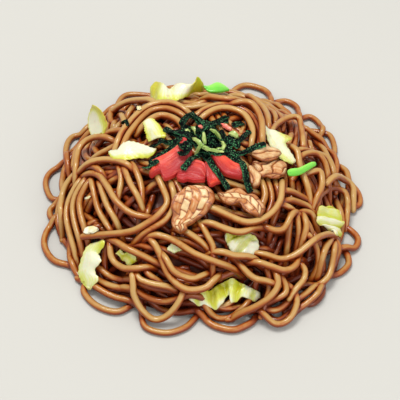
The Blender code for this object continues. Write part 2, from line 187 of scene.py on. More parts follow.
def new_piece(name, points, faces, material, slot, replaces=(), **attributes):
    """A piece from its points in millimetres and its faces, a list of arrays with one row for each face."""
    if enclosed(points, faces) < 0:
        faces = [face[:, ::-1] for face in faces]
    mesh = bpy.data.meshes.new(name)
    corners = np.concatenate([face.ravel() for face in faces])
    sizes = np.concatenate([np.full(len(face), face.shape[1]) for face in faces])
    mesh.vertices.add(len(points))
    mesh.vertices.foreach_set("co", (points * MM).ravel())
    mesh.loops.add(len(corners))
    mesh.loops.foreach_set("vertex_index", corners)
    mesh.polygons.add(len(sizes))
    mesh.polygons.foreach_set("loop_start", np.cumsum(sizes) - sizes)
    mesh.update(calc_edges=True)
    mesh.shade_smooth()
    for title, values in attributes.items():
        kind, field = ("FLOAT", "value") if values.ndim == 1 else ("FLOAT_VECTOR", "vector")
        mesh.attributes.new(title, kind, "POINT").data.foreach_set(field, values.ravel())
    mesh.set_sharp_from_angle(angle=SHARP)
    mesh.materials.append(material)
    piece = bpy.data.objects.new(name, mesh)
    bpy.context.collection.objects.link(piece)
    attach(piece, "root")
    if replaces:
        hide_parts(*replaces)
    print(f"{name}: {len(points)} points, {int((sizes - 2).sum())} triangles")


# %% [markdown]
# ## Materials as sums
#
# A material's nodes are easier to read as sums. A small class wraps a socket: an operator on it adds the
# Math node, and the result is a socket again. Other nodes come from one method.

# %% Sockets that can be added and multiplied


class Value:
    """One output socket of a material, with Python's operators."""

    def __init__(self, made, socket):
        self.made = made
        self.socket = socket

    def __add__(self, other):
        return self.made.math("ADD", self, other)

    def __sub__(self, other):
        return self.made.math("SUBTRACT", self, other)

    def __rsub__(self, other):
        return self.made.math("SUBTRACT", other, self)

    def __mul__(self, other):
        return self.made.math("MULTIPLY", self, other)

    def between(self, low, high):
        """0 at or under low, 1 at or over high, smooth in between."""
        sockets = {"Value": self, "From Min": low, "From Max": high}
        return self.made.node("ShaderNodeMapRange", {"interpolation_type": "SMOOTHSTEP"}, sockets)

    __radd__ = __add__
    __rmul__ = __mul__


def colour(value):
    """Linear light from screen values: ((value / 255 + 0.055) / 1.055)^2.4. A link stays as it is."""
    if isinstance(value, Value):
        return value
    screen = np.array(value, float) / 255
    return (*np.where(screen > 0.04045, ((screen + 0.055) / 1.055) ** 2.4, screen / 12.92), 1)


# %% A material built from nodes


class Finish:
    """A material that is built up from nodes around one Principled shader."""

    def __init__(self, name):
        self.material = bpy.data.materials.new(name)
        self.material.use_nodes = True
        self.tree = self.material.node_tree

    def node(self, kind, settings=None, sockets=(), output=0):
        """Adds a node: its settings first, then its sockets, by place in a list or by key in a dict."""
        made = self.tree.nodes.new(kind)
        for title, value in (settings or {}).items():
            setattr(made, title, value)
        for key, value in sockets.items() if isinstance(sockets, dict) else enumerate(sockets):
            self.put(made.inputs[key], value)
        return Value(self, made.outputs[output])

    def put(self, socket, value):
        """Links a Value to a socket, or sets the socket to anything else."""
        if isinstance(value, Value):
            self.tree.links.new(value.socket, socket)
        else:
            socket.default_value = value

    def math(self, operation, *terms):
        """One Math node on numbers or Values."""
        return self.node("ShaderNodeMath", {"operation": operation}, terms)

    def numbers(self, *names):
        """The attributes of these names, each a number."""
        return [self.node("ShaderNodeAttribute", {"attribute_name": name}, output="Fac") for name in names]

    def vector(self, name):
        """The attribute of this name, a vector."""
        return self.node("ShaderNodeAttribute", {"attribute_name": name}, output="Vector")

    def noise(self, vector, scale, detail=2.0, roughness=0.5, stretch=None):
        """Noise over a vector, which a stretch multiplies part by part, or over the object's own space."""
        vector = vector or self.node("ShaderNodeTexCoord", output="Object")
        if stretch:
            vector = self.node("ShaderNodeVectorMath", {"operation": "MULTIPLY"}, [vector, stretch])
        sockets = {"Vector": vector, "Scale": scale, "Detail": detail, "Roughness": roughness}
        return self.node("ShaderNodeTexNoise", sockets=sockets)

    def painted(self, tone, *layers):
        """Layers of paint over a tone. Each is a share and a colour in screen values, from 0 to 255."""
        for share, over in layers:
            sockets = {0: share, 6: colour(tone), 7: colour(over)}
            tone = self.node("ShaderNodeMix", {"data_type": "RGBA"}, sockets, output=2)
        return tone

    def bump(self, height, distance, strength=0.6):
        """Relief of a height. The distance is in millimetres."""
        sockets = {"Height": height, "Distance": distance * MM, "Strength": strength}
        return self.node("ShaderNodeBump", sockets=sockets)

    def set(self, **sockets):
        """Sets the shader's sockets, with underscores for the spaces in their names."""
        for title, value in sockets.items():
            self.put(self.tree.nodes["Principled BSDF"].inputs[title.replace("_", " ")], value)
        return self.material


# %% [markdown]
# ## Strands
#
# A strand starts as a route over the plan. Smooth routes come from a few given points,
# joined by Catmull-Rom curves, which pass through every point without corners.

# %% Routes
STEP = 1.2  # the distance between a strand's rings


def unit(vectors):
    """The vectors divided by their own lengths."""
    return vectors / np.maximum(np.linalg.norm(vectors, axis=-1, keepdims=True), 1e-9)


def turned_to(angle, distance):
    """Plan points from angles and distances: x = distance times cosine, y = distance times sine."""
    return np.stack([distance * np.cos(angle), distance * np.sin(angle)], axis=-1)


def running_length(route):
    """The length from the route's start to each of its points: the running sum of the steps."""
    return np.concatenate([[0], np.cumsum(np.linalg.norm(np.diff(route, axis=0), axis=1))])


def evenly(route, step=STEP):
    """The same route with a point every step along it, by interpolating over its running length."""
    run = running_length(route)
    places = np.linspace(0, run[-1], max(4, round(run[-1] / step)) + 1)
    return np.column_stack([np.interp(places, run, part) for part in route.T])


def through(points, step=STEP):
    """A smooth route through the points.

    Between points b and c, with neighbours a and d, and t from 0 to 1, it is half of
    2b + (c - a) t + (2a - 5b + 4c - d) t^2 + (3b - a - 3c + d) t^3.
    """
    known = np.array(points, float)
    known = np.vstack([2 * known[0] - known[1], known, 2 * known[-1] - known[-2]])
    t = np.linspace(0, 1, 16)[:, None, None]
    a, b, c, d = known[:-3], known[1:-2], known[2:-1], known[3:]
    curve = (2 * b + (c - a) * t + (2 * a - 5 * b + 4 * c - d) * t**2 + (3 * b - a - 3 * c + d) * t**3) / 2
    return evenly(np.concatenate(curve.transpose(1, 0, 2)), step)


def moved_left(route, offset):
    """Each point of a plan route moved to the left of the route's direction by the offset."""
    ahead = unit(np.gradient(route, axis=0))
    return route + np.column_stack([-ahead[:, 1], ahead[:, 0]]) * np.broadcast_to(offset, len(route))[:, None]


def longer(route, tail):
    """The route carried on by a straight tail at both ends."""
    ends = [unit(end) * tail for end in (route[0] - route[2], route[-1] - route[-3])]
    return evenly(np.vstack([route[0] + ends[0], route, route[-1] + ends[1]]))


# %% [markdown]
# A strand that is let down touches the pile at its highest points and spans the hollows between them,
# because a cooked noodle is soft but not limp. This is a tug of war: smoothing straightens the strand, and
# the pile pushes it back up wherever it would sink in. At the very end a light smoothing lets it settle
# into what it touches.

# %% Letting a strand down
SOFT, FIRM = 8, 240  # rounds of straightening: more rounds span wider hollows
ENDS_OVER = 9.0  # the length over which a strand's end dives under its neighbours


def straightened(heights, rounds=1):
    """Each height becomes a quarter of each neighbour's plus half of its own, once for each round."""
    for _ in range(rounds):
        middle = (heights[:-2] + 2 * heights[1:-1] + heights[2:]) / 4
        heights = np.concatenate([heights[:1], middle, heights[-1:]])
    return heights


def let_down(route, radius, firmness):
    """The heights along a route at which a strand comes to rest on the pile.

    Where the mound falls away steeply a strand slides down close to it. So the share of each straightening
    that counts falls from 1 at half the mound's reach to 0.2 at its rim.
    """
    rest = pile.rest(route, radius)
    share = np.clip(1.9 - 1.7 * np.linalg.norm(route, axis=1) / MOUND_REACH, 0.15, 1)
    heights = rest.copy()
    for _ in range(firmness):
        heights = np.maximum(rest, heights + share * (straightened(heights) - heights))
    return straightened(heights, 4 + firmness // 12)


# %% Laying a strand
strands = {"noodles_inside": [], "noodles_buried": [], "noodles_rim": [], "noodles_top": []}
rng = np.random.default_rng(20)


def lay_strand(route, kind, dive=3.4, firmness=SOFT, ceiling=None, dive_over=ENDS_OVER):
    """Lets a strand down along its plan route, dives its ends by a depth, and adds it to the pile.

    Under a ceiling the strands are pressed into one another, as they are deep in a heap.
    """
    radius = NOODLE * rng.uniform(0.94, 1.05)
    heights = let_down(route, radius, firmness)
    if ceiling:
        heights = straightened(np.minimum(heights, ceiling(route) - radius), rounds=4)
    start = np.clip(1 - np.arange(len(route)) * STEP / dive_over, 0, 1) ** 2
    heights = heights - dive * (start + start[::-1])
    path = np.column_stack([route, np.maximum(heights, radius)])
    pile.lay(path, radius)
    strands[kind].append((path, radius, rng.uniform()))


# %% [markdown]
# ## The core
#
# Nothing can be seen of the inside, so the heap starts from a solid core, a few strands smaller than the
# mound. Its height is the first thing that the pile gets.

# %% The core's height
CORE_DEPTH = 11.5
CORE_REACH = 0.9 * MOUND_REACH


def core_height(xy):
    """The mound, lowered, and drawn in at the rim so that strands have room to lie against it."""
    return mound(xy * MOUND_REACH / CORE_REACH) - CORE_DEPTH


pile.height = np.maximum(0, core_height(plan_of_cells))

# %% [markdown]
# ## Loops at the rim
#
# Around the rim the noodles swing out and turn back into the heap. Each loop is a few points given the way
# one reads a clock: a bearing in degrees and a distance from the middle. Both ends run on into the heap,
# where later strands bury them. A second, higher ring of loops is laid once the heap's inside is there to
# carry it.

# %% Loops
RIM_LOOPS = (
    ((127, 93), (119, 101), (110, 94)),
    ((137, 93), (132, 94), (127, 93)),
    ((161, 89), (153, 95), (148, 96), (145, 92), (140, 91)),
    ((161, 87), (167, 95), (173, 96), (180, 91), (181, 84)),
    ((182, 85), (186, 91), (190, 91), (193, 87)),
    ((191, 87), (196, 95), (202, 99), (209, 98), (214, 92)),
    ((224, 92), (227, 97), (234, 99), (241, 96), (245, 86)),
    ((248, 89), (252, 99), (259, 100), (265, 95), (269, 87)),
    ((270, 87), (275, 94), (281, 98), (287, 96), (291, 92)),
    ((293, 92), (295, 99), (298, 100), (303, 96), (307, 90), (309, 81)),
    ((305, 95), (309, 101), (314, 100), (318, 95)),
    ((320, 94), (325, 99), (330, 100), (334, 95), (333, 89)),
    ((346, 87), (344, 94), (341, 99), (337, 99), (334, 94)),
    ((368, 93), (362, 97), (357, 97), (355, 92)),
    ((378, 87), (372, 92), (367, 92)),
    ((36, 94), (32, 98), (25, 94), (20, 87)),
    ((46, 92), (44, 99), (39, 99), (34, 94), (33, 82)),
    ((60, 93), (56, 100), (51, 100), (47, 94)),
    ((79, 88), (74, 101), (68, 103), (63, 100), (58, 88)),
    ((103, 81), (96, 90), (90, 92), (84, 88), (82, 80)),
)
UPPER_LOOPS = (
    ((270, 82), (274, 88), (280, 90), (286, 88), (290, 84)),
    ((205, 84), (213, 90), (222, 92), (231, 89)),
    ((140, 82), (150, 88), (160, 88), (170, 82)),
    ((8, 84), (16, 88), (26, 88), (36, 82)),
    ((50, 84), (62, 89), (74, 88), (84, 80)),
    ((100, 84), (112, 88), (124, 86), (134, 79)),
    ((322, 84), (332, 89), (344, 88), (354, 83)),
)


def round_the_rim(loop, depth):
    """A loop's route, with both ends carried on into the heap.

    Each tail starts along the route's own direction and turns towards the heap's middle: the heading is a
    blend of the two, and the tail is the running sum of its steps.
    """
    bearing, distance = np.array(loop, float).T
    route = through(turned_to(np.radians(bearing), distance - NOODLE))
    tails = []
    for end, before in ((route[0], route[3]), (route[-1], route[-4])):
        share = np.linspace(0, 1, round(depth / STEP))[:, None]
        heading = unit(end - before) * (1 - 0.75 * share) + unit(-end) * 0.75 * share
        tails.append(end + np.cumsum(unit(heading) * STEP, axis=0))
    return evenly(np.vstack([tails[0][::-1], route, tails[1]]))


for loop in RIM_LOOPS:
    lay_strand(round_the_rim(loop, depth=18), "noodles_rim")
print("loops:", len(RIM_LOOPS))

# %% [markdown]
# ## The body of the heap
#
# The strands inside and on the far side are laid by chance, in small bundles that bend the same way, as
# they do when they come off the chopsticks. A route's heading is the running sum of its bend, and the bend
# itself wanders. For each bundle a few routes are tried, and the one that runs through the lowest places
# wins, so the mound fills evenly.

# %% Wandering routes
BODY_REACH = 0.92 * MOUND_REACH


def held_in(route):
    """Keeps a route on the heap by squeezing all distances d over f, three quarters of the reach r.

    The squeezed distance is f + (r - f) * tanh((d - f) / (r - f)), which never passes r.
    """
    distance = np.linalg.norm(route, axis=1, keepdims=True)
    free = 0.75 * BODY_REACH
    squeezed = free + (BODY_REACH - free) * np.tanh((distance - free) / (BODY_REACH - free))
    return route * np.where(distance > free, squeezed / np.maximum(distance, free), 1)


def wandering(length, bend, anchor):
    """A route of a given length with its middle at the anchor. Its heading is the running sum of its bend."""
    steps = int(length / STEP)
    bends = bend * rng.choice([-1, 1]) * rng.uniform(0.1, 1.5, 5)
    start = rng.uniform(0, 2 * np.pi)
    heading = start + np.cumsum(np.interp(np.linspace(0, 4, steps), np.arange(5), bends)) * STEP
    route = np.cumsum(turned_to(heading, STEP), axis=0)
    return evenly(held_in(route - route[steps // 2] + anchor))


# %% Where there is room
COARSE = 5  # every fifth cell is enough to look for low places
coarse_plan = plan_of_cells[::COARSE, ::COARSE].reshape(-1, 2)
coarse_plan = coarse_plan[np.hypot(*coarse_plan.T) < BODY_REACH]


def room_under(target):
    """The target's height less the pile's, at the coarse cells."""
    return target(coarse_plan) - pile.height[pile.cells_at(coarse_plan)]


def best_fitting(count, target, length, bend):
    """Of a few wandering routes, each through a low place, the one where a strand has to be pressed in least.

    The low place is drawn by chance, the likelier the more room there is: likelihood = room cubed. The press
    is how far, on average, the strand would lie over the target if it weren't pressed in.
    """
    room = np.clip(room_under(target), 0, None) ** 3
    places = coarse_plan[rng.choice(len(room), count, p=room / room.sum())]
    tries = [wandering(rng.uniform(*length), bend, place) for place in places]
    presses = [np.clip(pile.rest(route, NOODLE) + NOODLE - target(route), 0, None).mean() for route in tries]
    best = int(np.argmin(presses))
    return tries[best], presses[best]


# %% Bundles and arcs
TRIES = 10  # routes that are drawn for each bundle
SHORTEST = 16  # points in a route that is worth laying
APART = 2.06 * NOODLE  # between the middles of two strands side by side
TURNED_IN = 14  # by how much the ends of an arc lie nearer to the middle


def fill(kind, target, bundles, length, bend, sizes, most_press):
    """Lays bundles of side-by-side strands under the target, where they needn't be pressed in much."""
    before = len(strands[kind])
    for _ in range(bundles):
        route, press = best_fitting(TRIES, target, length, bend)
        if press > most_press or len(route) < SHORTEST:
            continue
        size = rng.choice(sizes)
        for number in range(size):
            sway = 0.5 * np.sin(np.linspace(0, rng.uniform(2, 5), len(route)) + rng.uniform(0, 6))
            side = evenly(moved_left(route, (number - (size - 1) / 2) * APART + sway))
            cut = rng.integers(0, 7, 2)
            lay_strand(side[cut[0] : -1 - cut[1]], kind, ceiling=target)
    room = np.percentile(room_under(target), [10, 50, 90]).round(1)
    print(f"{kind}: {len(strands[kind]) - before} laid, room left {room} mm")


def round_arcs(kind, target, count, distances, spans):
    """Strands that run round the rim, with both ends turned in.

    Distance = middle distance + a slow wave over the bearing - TURNED_IN * (place from -1 to 1)^4.
    """
    for number in range(count):
        span = np.radians(rng.uniform(*spans))
        start = 2 * np.pi * (number + rng.uniform(0, 1)) / count
        angle = np.linspace(start, start + span, 40)
        wave = 2.6 * np.sin(angle * rng.uniform(3, 7) + rng.uniform(0, 6))
        distance = rng.uniform(*distances) + wave - TURNED_IN * np.abs(np.linspace(-1, 1, 40)) ** 4
        lay_strand(evenly(turned_to(angle, distance)), kind, ceiling=target)


# %% How low the strands stay


def mound_less(depth, front_depth=0.0):
    """The mound, lower and drawn in by a depth, as a function of the plan.

    Towards the front it is lower still, by up to the front depth, to leave room for the strands laid last.
    The front begins at a line that runs slantwise over the heap, and fades in as a tanh across it.
    """

    def target(xy):
        distance = np.hypot(xy[..., 0], xy[..., 1])
        front = 0.5 - 0.5 * np.tanh((xy[..., 1] + 0.35 * (MOUND_REACH - xy[..., 0])) / 14)
        lower = depth + front_depth * front * np.clip(distance / 25 - 1.4, 0.2, 1)
        return mound(xy * (1 + 0.5 * lower[..., None] / MOUND_REACH)) - 0.8 * lower

    return target


# %% Filling the mound
SHORT = {"length": (22, 50), "bend": 1 / 22, "sizes": (1, 2)}
round_arcs("noodles_inside", mound_less(3, 3), count=18, distances=(78, 87), spans=(30, 70))
deep = mound_less(6.5, 3)
fill("noodles_inside", deep, bundles=60, length=(70, 150), bend=1 / 40, sizes=(1, 2, 3), most_press=1.0)
fill("noodles_inside", deep, bundles=60, most_press=1.0, **SHORT)
for loop in UPPER_LOOPS:
    lay_strand(round_the_rim(loop, depth=14), "noodles_rim", ceiling=mound_less(-1, 2))
near_top = mound_less(3, 4)
fill("noodles_buried", near_top, bundles=60, length=(60, 140), bend=1 / 34, sizes=(1, 2, 3), most_press=0.8)
fill("noodles_buried", mound_less(3.5, 4), bundles=120, most_press=0.8, **SHORT)

# %% [markdown]
# ## Where shade is painted
#
# Shade is painted into the grooves between the strands, which hold sauce as well. How deep a point lies
# under the pile's rolling top says how much painted shade and sauce it gets. The rolling top is the pile with
# every hollow closed.

# %% How deep a point lies


def spread(heights, reach, pick):
    """Slides the grid by up to the reach along both axes and keeps the highest, or lowest, of the values."""
    for axis in (0, 1):
        slides = [np.roll(heights, step, axis) for step in range(-reach, reach + 1)]
        heights = pick(slides, axis=0)
    return heights


HOLLOW = 5.5  # the reach of the closing: hollows up to twice as wide are closed
CELLS_BACK = 3  # by how much the second reach is shorter, so that a lone crown stays broad
SOFTENING = 12  # rounds of blur
STEEPEST = 1.6  # the mound's slope counts up to this much
fall = np.hypot(*np.gradient(mound(plan_of_cells), pile.cell))


def rolling_top():
    """The pile after a closing: the highest value within the reach, then the lowest, then blurred."""
    reach = int(HOLLOW / pile.cell)
    heights = spread(spread(pile.height, reach, np.max), reach - CELLS_BACK, np.min)
    for _ in range(SOFTENING):
        for axis in (0, 1):
            heights = (np.roll(heights, 1, axis) + 2 * heights + np.roll(heights, -1, axis)) / 4
    return heights


def how_buried(points):
    """The distance from each point to the rolling top, square to the mound's slope.

    The drop is measured straight down and multiplied by the cosine of the slope, 1 / sqrt(1 + slope^2).
    """
    cells = pile.cells_at(points)
    return (top[cells] - points[:, 2]) / np.sqrt(1 + np.minimum(fall[cells], STEEPEST) ** 2)


top = rolling_top()
print("rolling top:", top.max().round(1), "mm at its highest")

# %% [markdown]
# Shade is also painted where strands lie close together and hide one another from the light. So a second
# measure says how much noodle there is around a point, in all directions.

# %% How crowded a point is
CROWD_CELL = 0.9
CROWD_ROUNDS = 6  # of smoothing, which spread a point over the square root of half the rounds, in cells
CROWD_MARGIN = 8  # the empty space around the strands


def noodle_crowd():
    """How much noodle lies around each cell of a box of cells: 1 in the middle of a lone strand.

    Every point of every path is dropped in its cell and smoothed into the cells around it, which makes a bell
    curve. Crowd = the sum of the bells / the height that the bells along one straight strand add up to.
    """
    paths = np.concatenate([path for kind in strands.values() for path, radius, tint in kind])
    low = paths.min(axis=0) - CROWD_MARGIN
    size = np.ceil((np.ptp(paths, axis=0) + 2 * CROWD_MARGIN) / CROWD_CELL).astype(int)
    cells = np.zeros(size, np.float32)
    place = ((paths - low) / CROWD_CELL).astype(int)
    np.add.at(cells, tuple(place.T), 1.0)
    for axis in (0, 1, 2):
        cells = np.moveaxis(cells, axis, 0)
        for _ in range(CROWD_ROUNDS):
            cells[1:-1] = (cells[:-2] + 2 * cells[1:-1] + cells[2:]) / 4
        cells = np.moveaxis(cells, 0, axis)
    spread_over = CROWD_CELL * np.sqrt(CROWD_ROUNDS / 2)
    return cells * STEP * 2 * np.pi * spread_over**2 / CROWD_CELL**3, low


def crowding(points):
    """The crowd at each point."""
    place = np.clip(((points - crowd_low) / CROWD_CELL).astype(int), 0, np.array(crowd.shape) - 1)
    return crowd[tuple(place.T)]


# %% [markdown]
# ## Cabbage
#
# Cabbage goes into the pan in torn pieces and comes out limp, with white ribs and yellow-green edges. A
# torn piece is known by its outline, so it is a sheet stretched between two edges that meet at both ends: a
# near one and a far one. Each edge is a few points with a lift over the pile. The lifts make it lie flat,
# lean or stand, and pleats run from edge to edge.

# %% Sheets between two edges


def edge(node, points, along):
    """Places along an edge. Its points are x, y and lift, measured from the middle of a CAD node's box."""
    low, high = box_mm(node)
    route = through(np.array(points, float) + [*((low + high) / 2)[:2], 0], step=0.3)
    return np.column_stack([np.interp(along, np.linspace(0, 1, len(route)), part) for part in route.T])


def height_at(heights, xy):
    """The height between cells, in proportion to how near each of the four cells is."""
    place = np.clip(xy / pile.cell + pile.middle, 0, len(heights) - 2.001)
    cell = place.astype(int)
    share = place - cell
    column, row = cell[..., 0], cell[..., 1]
    near = heights[column, row] * (1 - share[..., 0]) + heights[column + 1, row] * share[..., 0]
    far = heights[column, row + 1] * (1 - share[..., 0]) + heights[column + 1, row + 1] * share[..., 0]
    return near * (1 - share[..., 1]) + far * share[..., 1]


FREE = 2.0  # a lift at which a sheet no longer follows every bump under it


def stretched(node, near, far, across):
    """Points between the near edge, where across is 0, and the far edge, where it is 1.

    Each point = near point times (1 - across) + far point times across. Its height is the mound's, plus the
    pile's bumps over the mound, which fade as exp(-lift / FREE), plus the lift.
    """
    along = np.linspace(0, 1, len(across))
    edges = [edge(node, points, along)[:, None] for points in (near, far)]
    sheet = edges[0] * (1 - across[..., None]) + edges[1] * across[..., None]
    plan, lift = sheet[..., :2], sheet[..., 2]
    bumps = height_at(top, plan) - mound(plan)
    follows = np.exp(-np.clip(lift, 0, None) / FREE)
    ground = mound(plan) + np.median(bumps) * (1 - follows) + bumps * follows
    return np.concatenate([plan, (ground + lift)[..., None]], axis=-1)


# %% A sheet with two faces


def two_faced(grid, thickness):
    """A closed sheet around a grid: both faces lie half a thickness from it along its normal.

    The normal is the cross product of the grid's two directions. The rims of the faces are joined all round.
    """
    rows, columns = grid.shape[:2]
    normal = unit(np.cross(np.gradient(grid, axis=0), np.gradient(grid, axis=1)))
    half = np.broadcast_to(thickness, (rows, columns))[..., None] / 2
    points = np.concatenate([(grid + normal * half).reshape(-1, 3), (grid - normal * half).reshape(-1, 3)])
    index = np.arange(rows * columns).reshape(rows, columns)
    rim = np.concatenate([index[0, :-1], index[:-1, -1], index[-1, :0:-1], index[:0:-1, 0]])
    following = np.roll(rim, -1)
    upper = grid_faces(rows, columns)
    outer = np.stack([rim, rim + rows * columns, following + rows * columns, following], axis=1)
    return points, [upper, upper[:, ::-1] + rows * columns, outer]


# %% [markdown]
# Fried cabbage goes from white ribs over lime to a deep yellow-green. It is streaked along the veins,
# painted deeper in its creases as shade, yellowed at the rim, and stained brown here and there where sauce
# ran.

# %% Cabbage finish


def cabbage_finish():
    """White ribs under three deeper tones, each where the mix of shade, veins and creases is high enough.

    The creases add painted shade.
    """
    made = Finish("fried_cabbage")
    shade, crease, rim = made.numbers("shade", "crease", "rim")
    veins = made.noise(made.vector("grain"), 1.0, 3, 0.6)
    cloud = made.noise(None, 150, 3)
    # crease * 0.28 is painted shade that deepens the tone in the valleys of the pleats.
    mixed = shade + (veins - 0.5) * 0.75 + (cloud - 0.5) * 0.2 + crease * 0.28
    painted = made.painted(
        (220, 218, 188),
        (mixed.between(0.1, 0.42), (210, 212, 122)),
        (mixed.between(0.35, 0.7), (196, 198, 48)),
        (mixed.between(0.68, 1.05), (184, 178, 30)),
        (rim * 0.55, (196, 180, 58)),
        ((cloud + rim * 0.1 - 0.64).between(0, 0.14) * 0.6, (176, 122, 46)),
    )
    relief = made.bump(veins + cloud * 0.6, 0.4)
    made.set(Base_Color=painted, Roughness=0.36, Normal=relief, Coat_Weight=0.35, Coat_Roughness=0.15)
    return made.set(Subsurface_Weight=0.12, Subsurface_Scale=0.004)


fried_cabbage = cabbage_finish()

# %% A cabbage leaf
LEAF_THICKNESS = 0.8


def band(place, middle, half):
    """1 at the middle, and less with distance: exp(-((place - middle) / half)^2)."""
    return np.exp(-(((place - middle) / half) ** 2))


def leaf(node, near, far, shade, pleats=(0, 0, 0), bulge=0.0, veins=(0.9, 0.12), rows=90, columns=36):
    """Drapes one leaf and lays it on the pile.

    The shade, from 0 for white to 1 for yellow-green, is a function of the places along and across. Pleats
    are how many, how deep and where they start, in turns: height = depth * sin(turn), plus a weaker second
    wave. Veins are streaks per millimetre along and across.
    """
    along = np.linspace(0, 1, rows)[:, None] * np.ones(columns)
    across = np.linspace(0, 1, columns) * np.ones((rows, 1))
    grid = stretched(node, near, far, across)
    ragged = 0.35 * np.sin(along * 41) * np.sin(along * 23 + 1) * (2 * across - 1) ** 3
    inward = unit(grid[:, -1, :2] - grid[:, 0, :2])
    grid[..., :2] += inward[:, None] * ragged[..., None]
    number, depth, start = pleats
    turn = 2 * np.pi * (number * along + start + 0.05 * np.sin(6 * across))
    wave = np.sin(turn) + 0.25 * np.sin(2 * turn + 1)
    blisters = 0.07 * np.sin(grid[..., 0] * 1.9) * np.sin(grid[..., 1] * 2.3 + along * 3)
    grid[..., 2] += depth * wave + bulge * np.sin(np.pi * across) + blisters
    rim = np.maximum(np.abs(2 * along - 1) ** 14, np.abs(2 * across - 1) ** 14)
    points, faces = two_faced(grid, LEAF_THICKNESS * (1 - 0.6 * rim))
    length = np.linalg.norm(np.diff(grid[:, columns // 2], axis=0), axis=1).sum()
    width = np.linalg.norm(np.diff(grid, axis=1), axis=-1).sum(axis=1).max()
    grain = np.stack([along * length * veins[0], across * width * veins[1], 0 * along + len(node)], axis=-1)
    # The crease, how deep a place lies in a pleat's valley, is painted as shade by the finish.
    values = {"shade": shade(along, across), "crease": -wave * min(depth, 1.0), "rim": rim}
    values = {title: np.tile(field.ravel(), 2) for title, field in values.items()}
    values["grain"] = np.tile(grain.reshape(-1, 3), (2, 1))
    pile.lay_points(points)
    new_piece(node.replace("cabbage", "leaf"), points, faces, fried_cabbage, "cabbage", [node], **values)


# %% [markdown]
# Two leaves at the front are half buried, so they go down before the last strands do. The big one is
# ruffled and climbs to a peak in its middle, and its deep tone follows that peak.

# %% Leaves among the strands
top = rolling_top()
leaf(
    "cabbage_front",
    near=((-20, -0.5, 4), (-16.5, -2, 4), (-10, -3.5, 3), (-4, -3, 2), (-1, -0.5, 1.5), (1.5, 3.5, 1),
        (3, 3, 1), (3.5, -0.5, 2), (9.5, 2.5, 1.5), (13, 2, 1.5), (17, 2, 1), (19.5, 3.5, 1)),
    far=((-20.5, 0.5, 4), (-15, 1.5, 4), (-10, 3.5, 2), (-5, 6, 1), (-2.5, 9, 0), (3, 10.5, 0),
        (7.5, 10.5, 0), (13, 8.5, 0), (19.5, 5.5, 1)),
    shade=lambda along, across: (
        0.95 * band(along, 0.4, 0.28) * np.clip(across * 2.4, 0, 1) + 0.35 * band(along, 0.75, 0.1)
        + 0.1
    ),
    pleats=(5.0, 0.9, 0.2), bulge=0.8, rows=130,
)
leaf(
    "cabbage_front_right",
    near=((-8.5, 5, 0), (-9, 3, 1), (-6.5, -1.5, 2), (-3.5, -4.5, 2), (2.5, -4.5, 2), (6.8, -5.5, 1)),
    far=((-8, 6, 0), (0, 6, 0.5), (8, 6.8, 0.5), (9.5, 2.5, 1.5), (7.8, -2, 1.5), (7, -5.3, 1)),
    shade=lambda along, across: 0.95 * band(along, 0.1, 0.32) * np.clip(across * 1.6, 0, 1) + 0.1,
    pleats=(3.0, 0.6, 0.2), bulge=1.4,
)

# %% [markdown]
# ## The strands on top
#
# What one sees first are the strands that were dropped last. They are laid one by one, each through a few
# chosen points. First come the strands on the left and along the front rim.

# %% Strands through listed points


def lay_by_hand(routes, dive=7):
    """Lays strands through points of the plan. A number before the points is how many lie side by side."""
    for route in routes:
        count, *points = route if isinstance(route[0], int) else (1, *route)
        route = through(points)
        for number in range(count):
            side = evenly(moved_left(route, (number - (count - 1) / 2) * APART))
            lay_strand(longer(side, tail=6), "noodles_top", dive=dive, firmness=FIRM, dive_over=12)


# %% The first strands on top
lay_by_hand(
    (
        (3, (-66, -10), (-72, -20), (-72, -30), (-67, -46)),
        ((-62, -14), (-58, -30), (-53, -40), (-47, -50)),
        ((-57, -18), (-52, -33), (-45, -45)),
        ((-46, -33), (-44, -22), (-46, -12)),
        ((-32, -40), (-33, -27), (-39, -12)),
        ((-43, -15), (-38, -29), (-33, -38)),
        ((-66, -7), (-58, -13), (-52, -24), (-46, -36), (-36, -44), (-24, -46)),
        ((-80, -26), (-80, -10), (-74, -3), (-64, -4), (-56, -12)),
        ((-66, -4), (-53, -7), (-40, -16)),
        ((-62, 2), (-50, 3), (-40, 6)),
        ((-57, 17), (-52, 18), (-46, 15), (-42, 10)),
        ((-50, 52), (-42, 50), (-34, 44), (-27, 38)),
        ((-72, -2), (-71, 13), (-64, 18), (-52, 12)),
        (2, (-46, -2), (-41, 12), (-31, 28), (-19, 30), (-8, 22)),
        ((-32, 14), (-23, 20), (-14, 16), (-8, 6)),
        (3, (-62, -60), (-50, -69), (-36, -74)),
        (2, (-40, -71), (-30, -76), (-16, -79), (-2, -79)),
        ((-31, -66), (-28, -71), (-22, -74)),
        ((-36, -66), (-34, -72), (-30, -75), (-23, -77), (-15, -78)),
        ((-42, -55), (-34, -56), (-27, -59), (-19, -60)),
    )
)

# %% [markdown]
# Three pieces of cabbage lie on these strands and under the next ones: a long one that hangs down the left
# side and shows its white rib, and two small ones of which little more than a corner looks out.

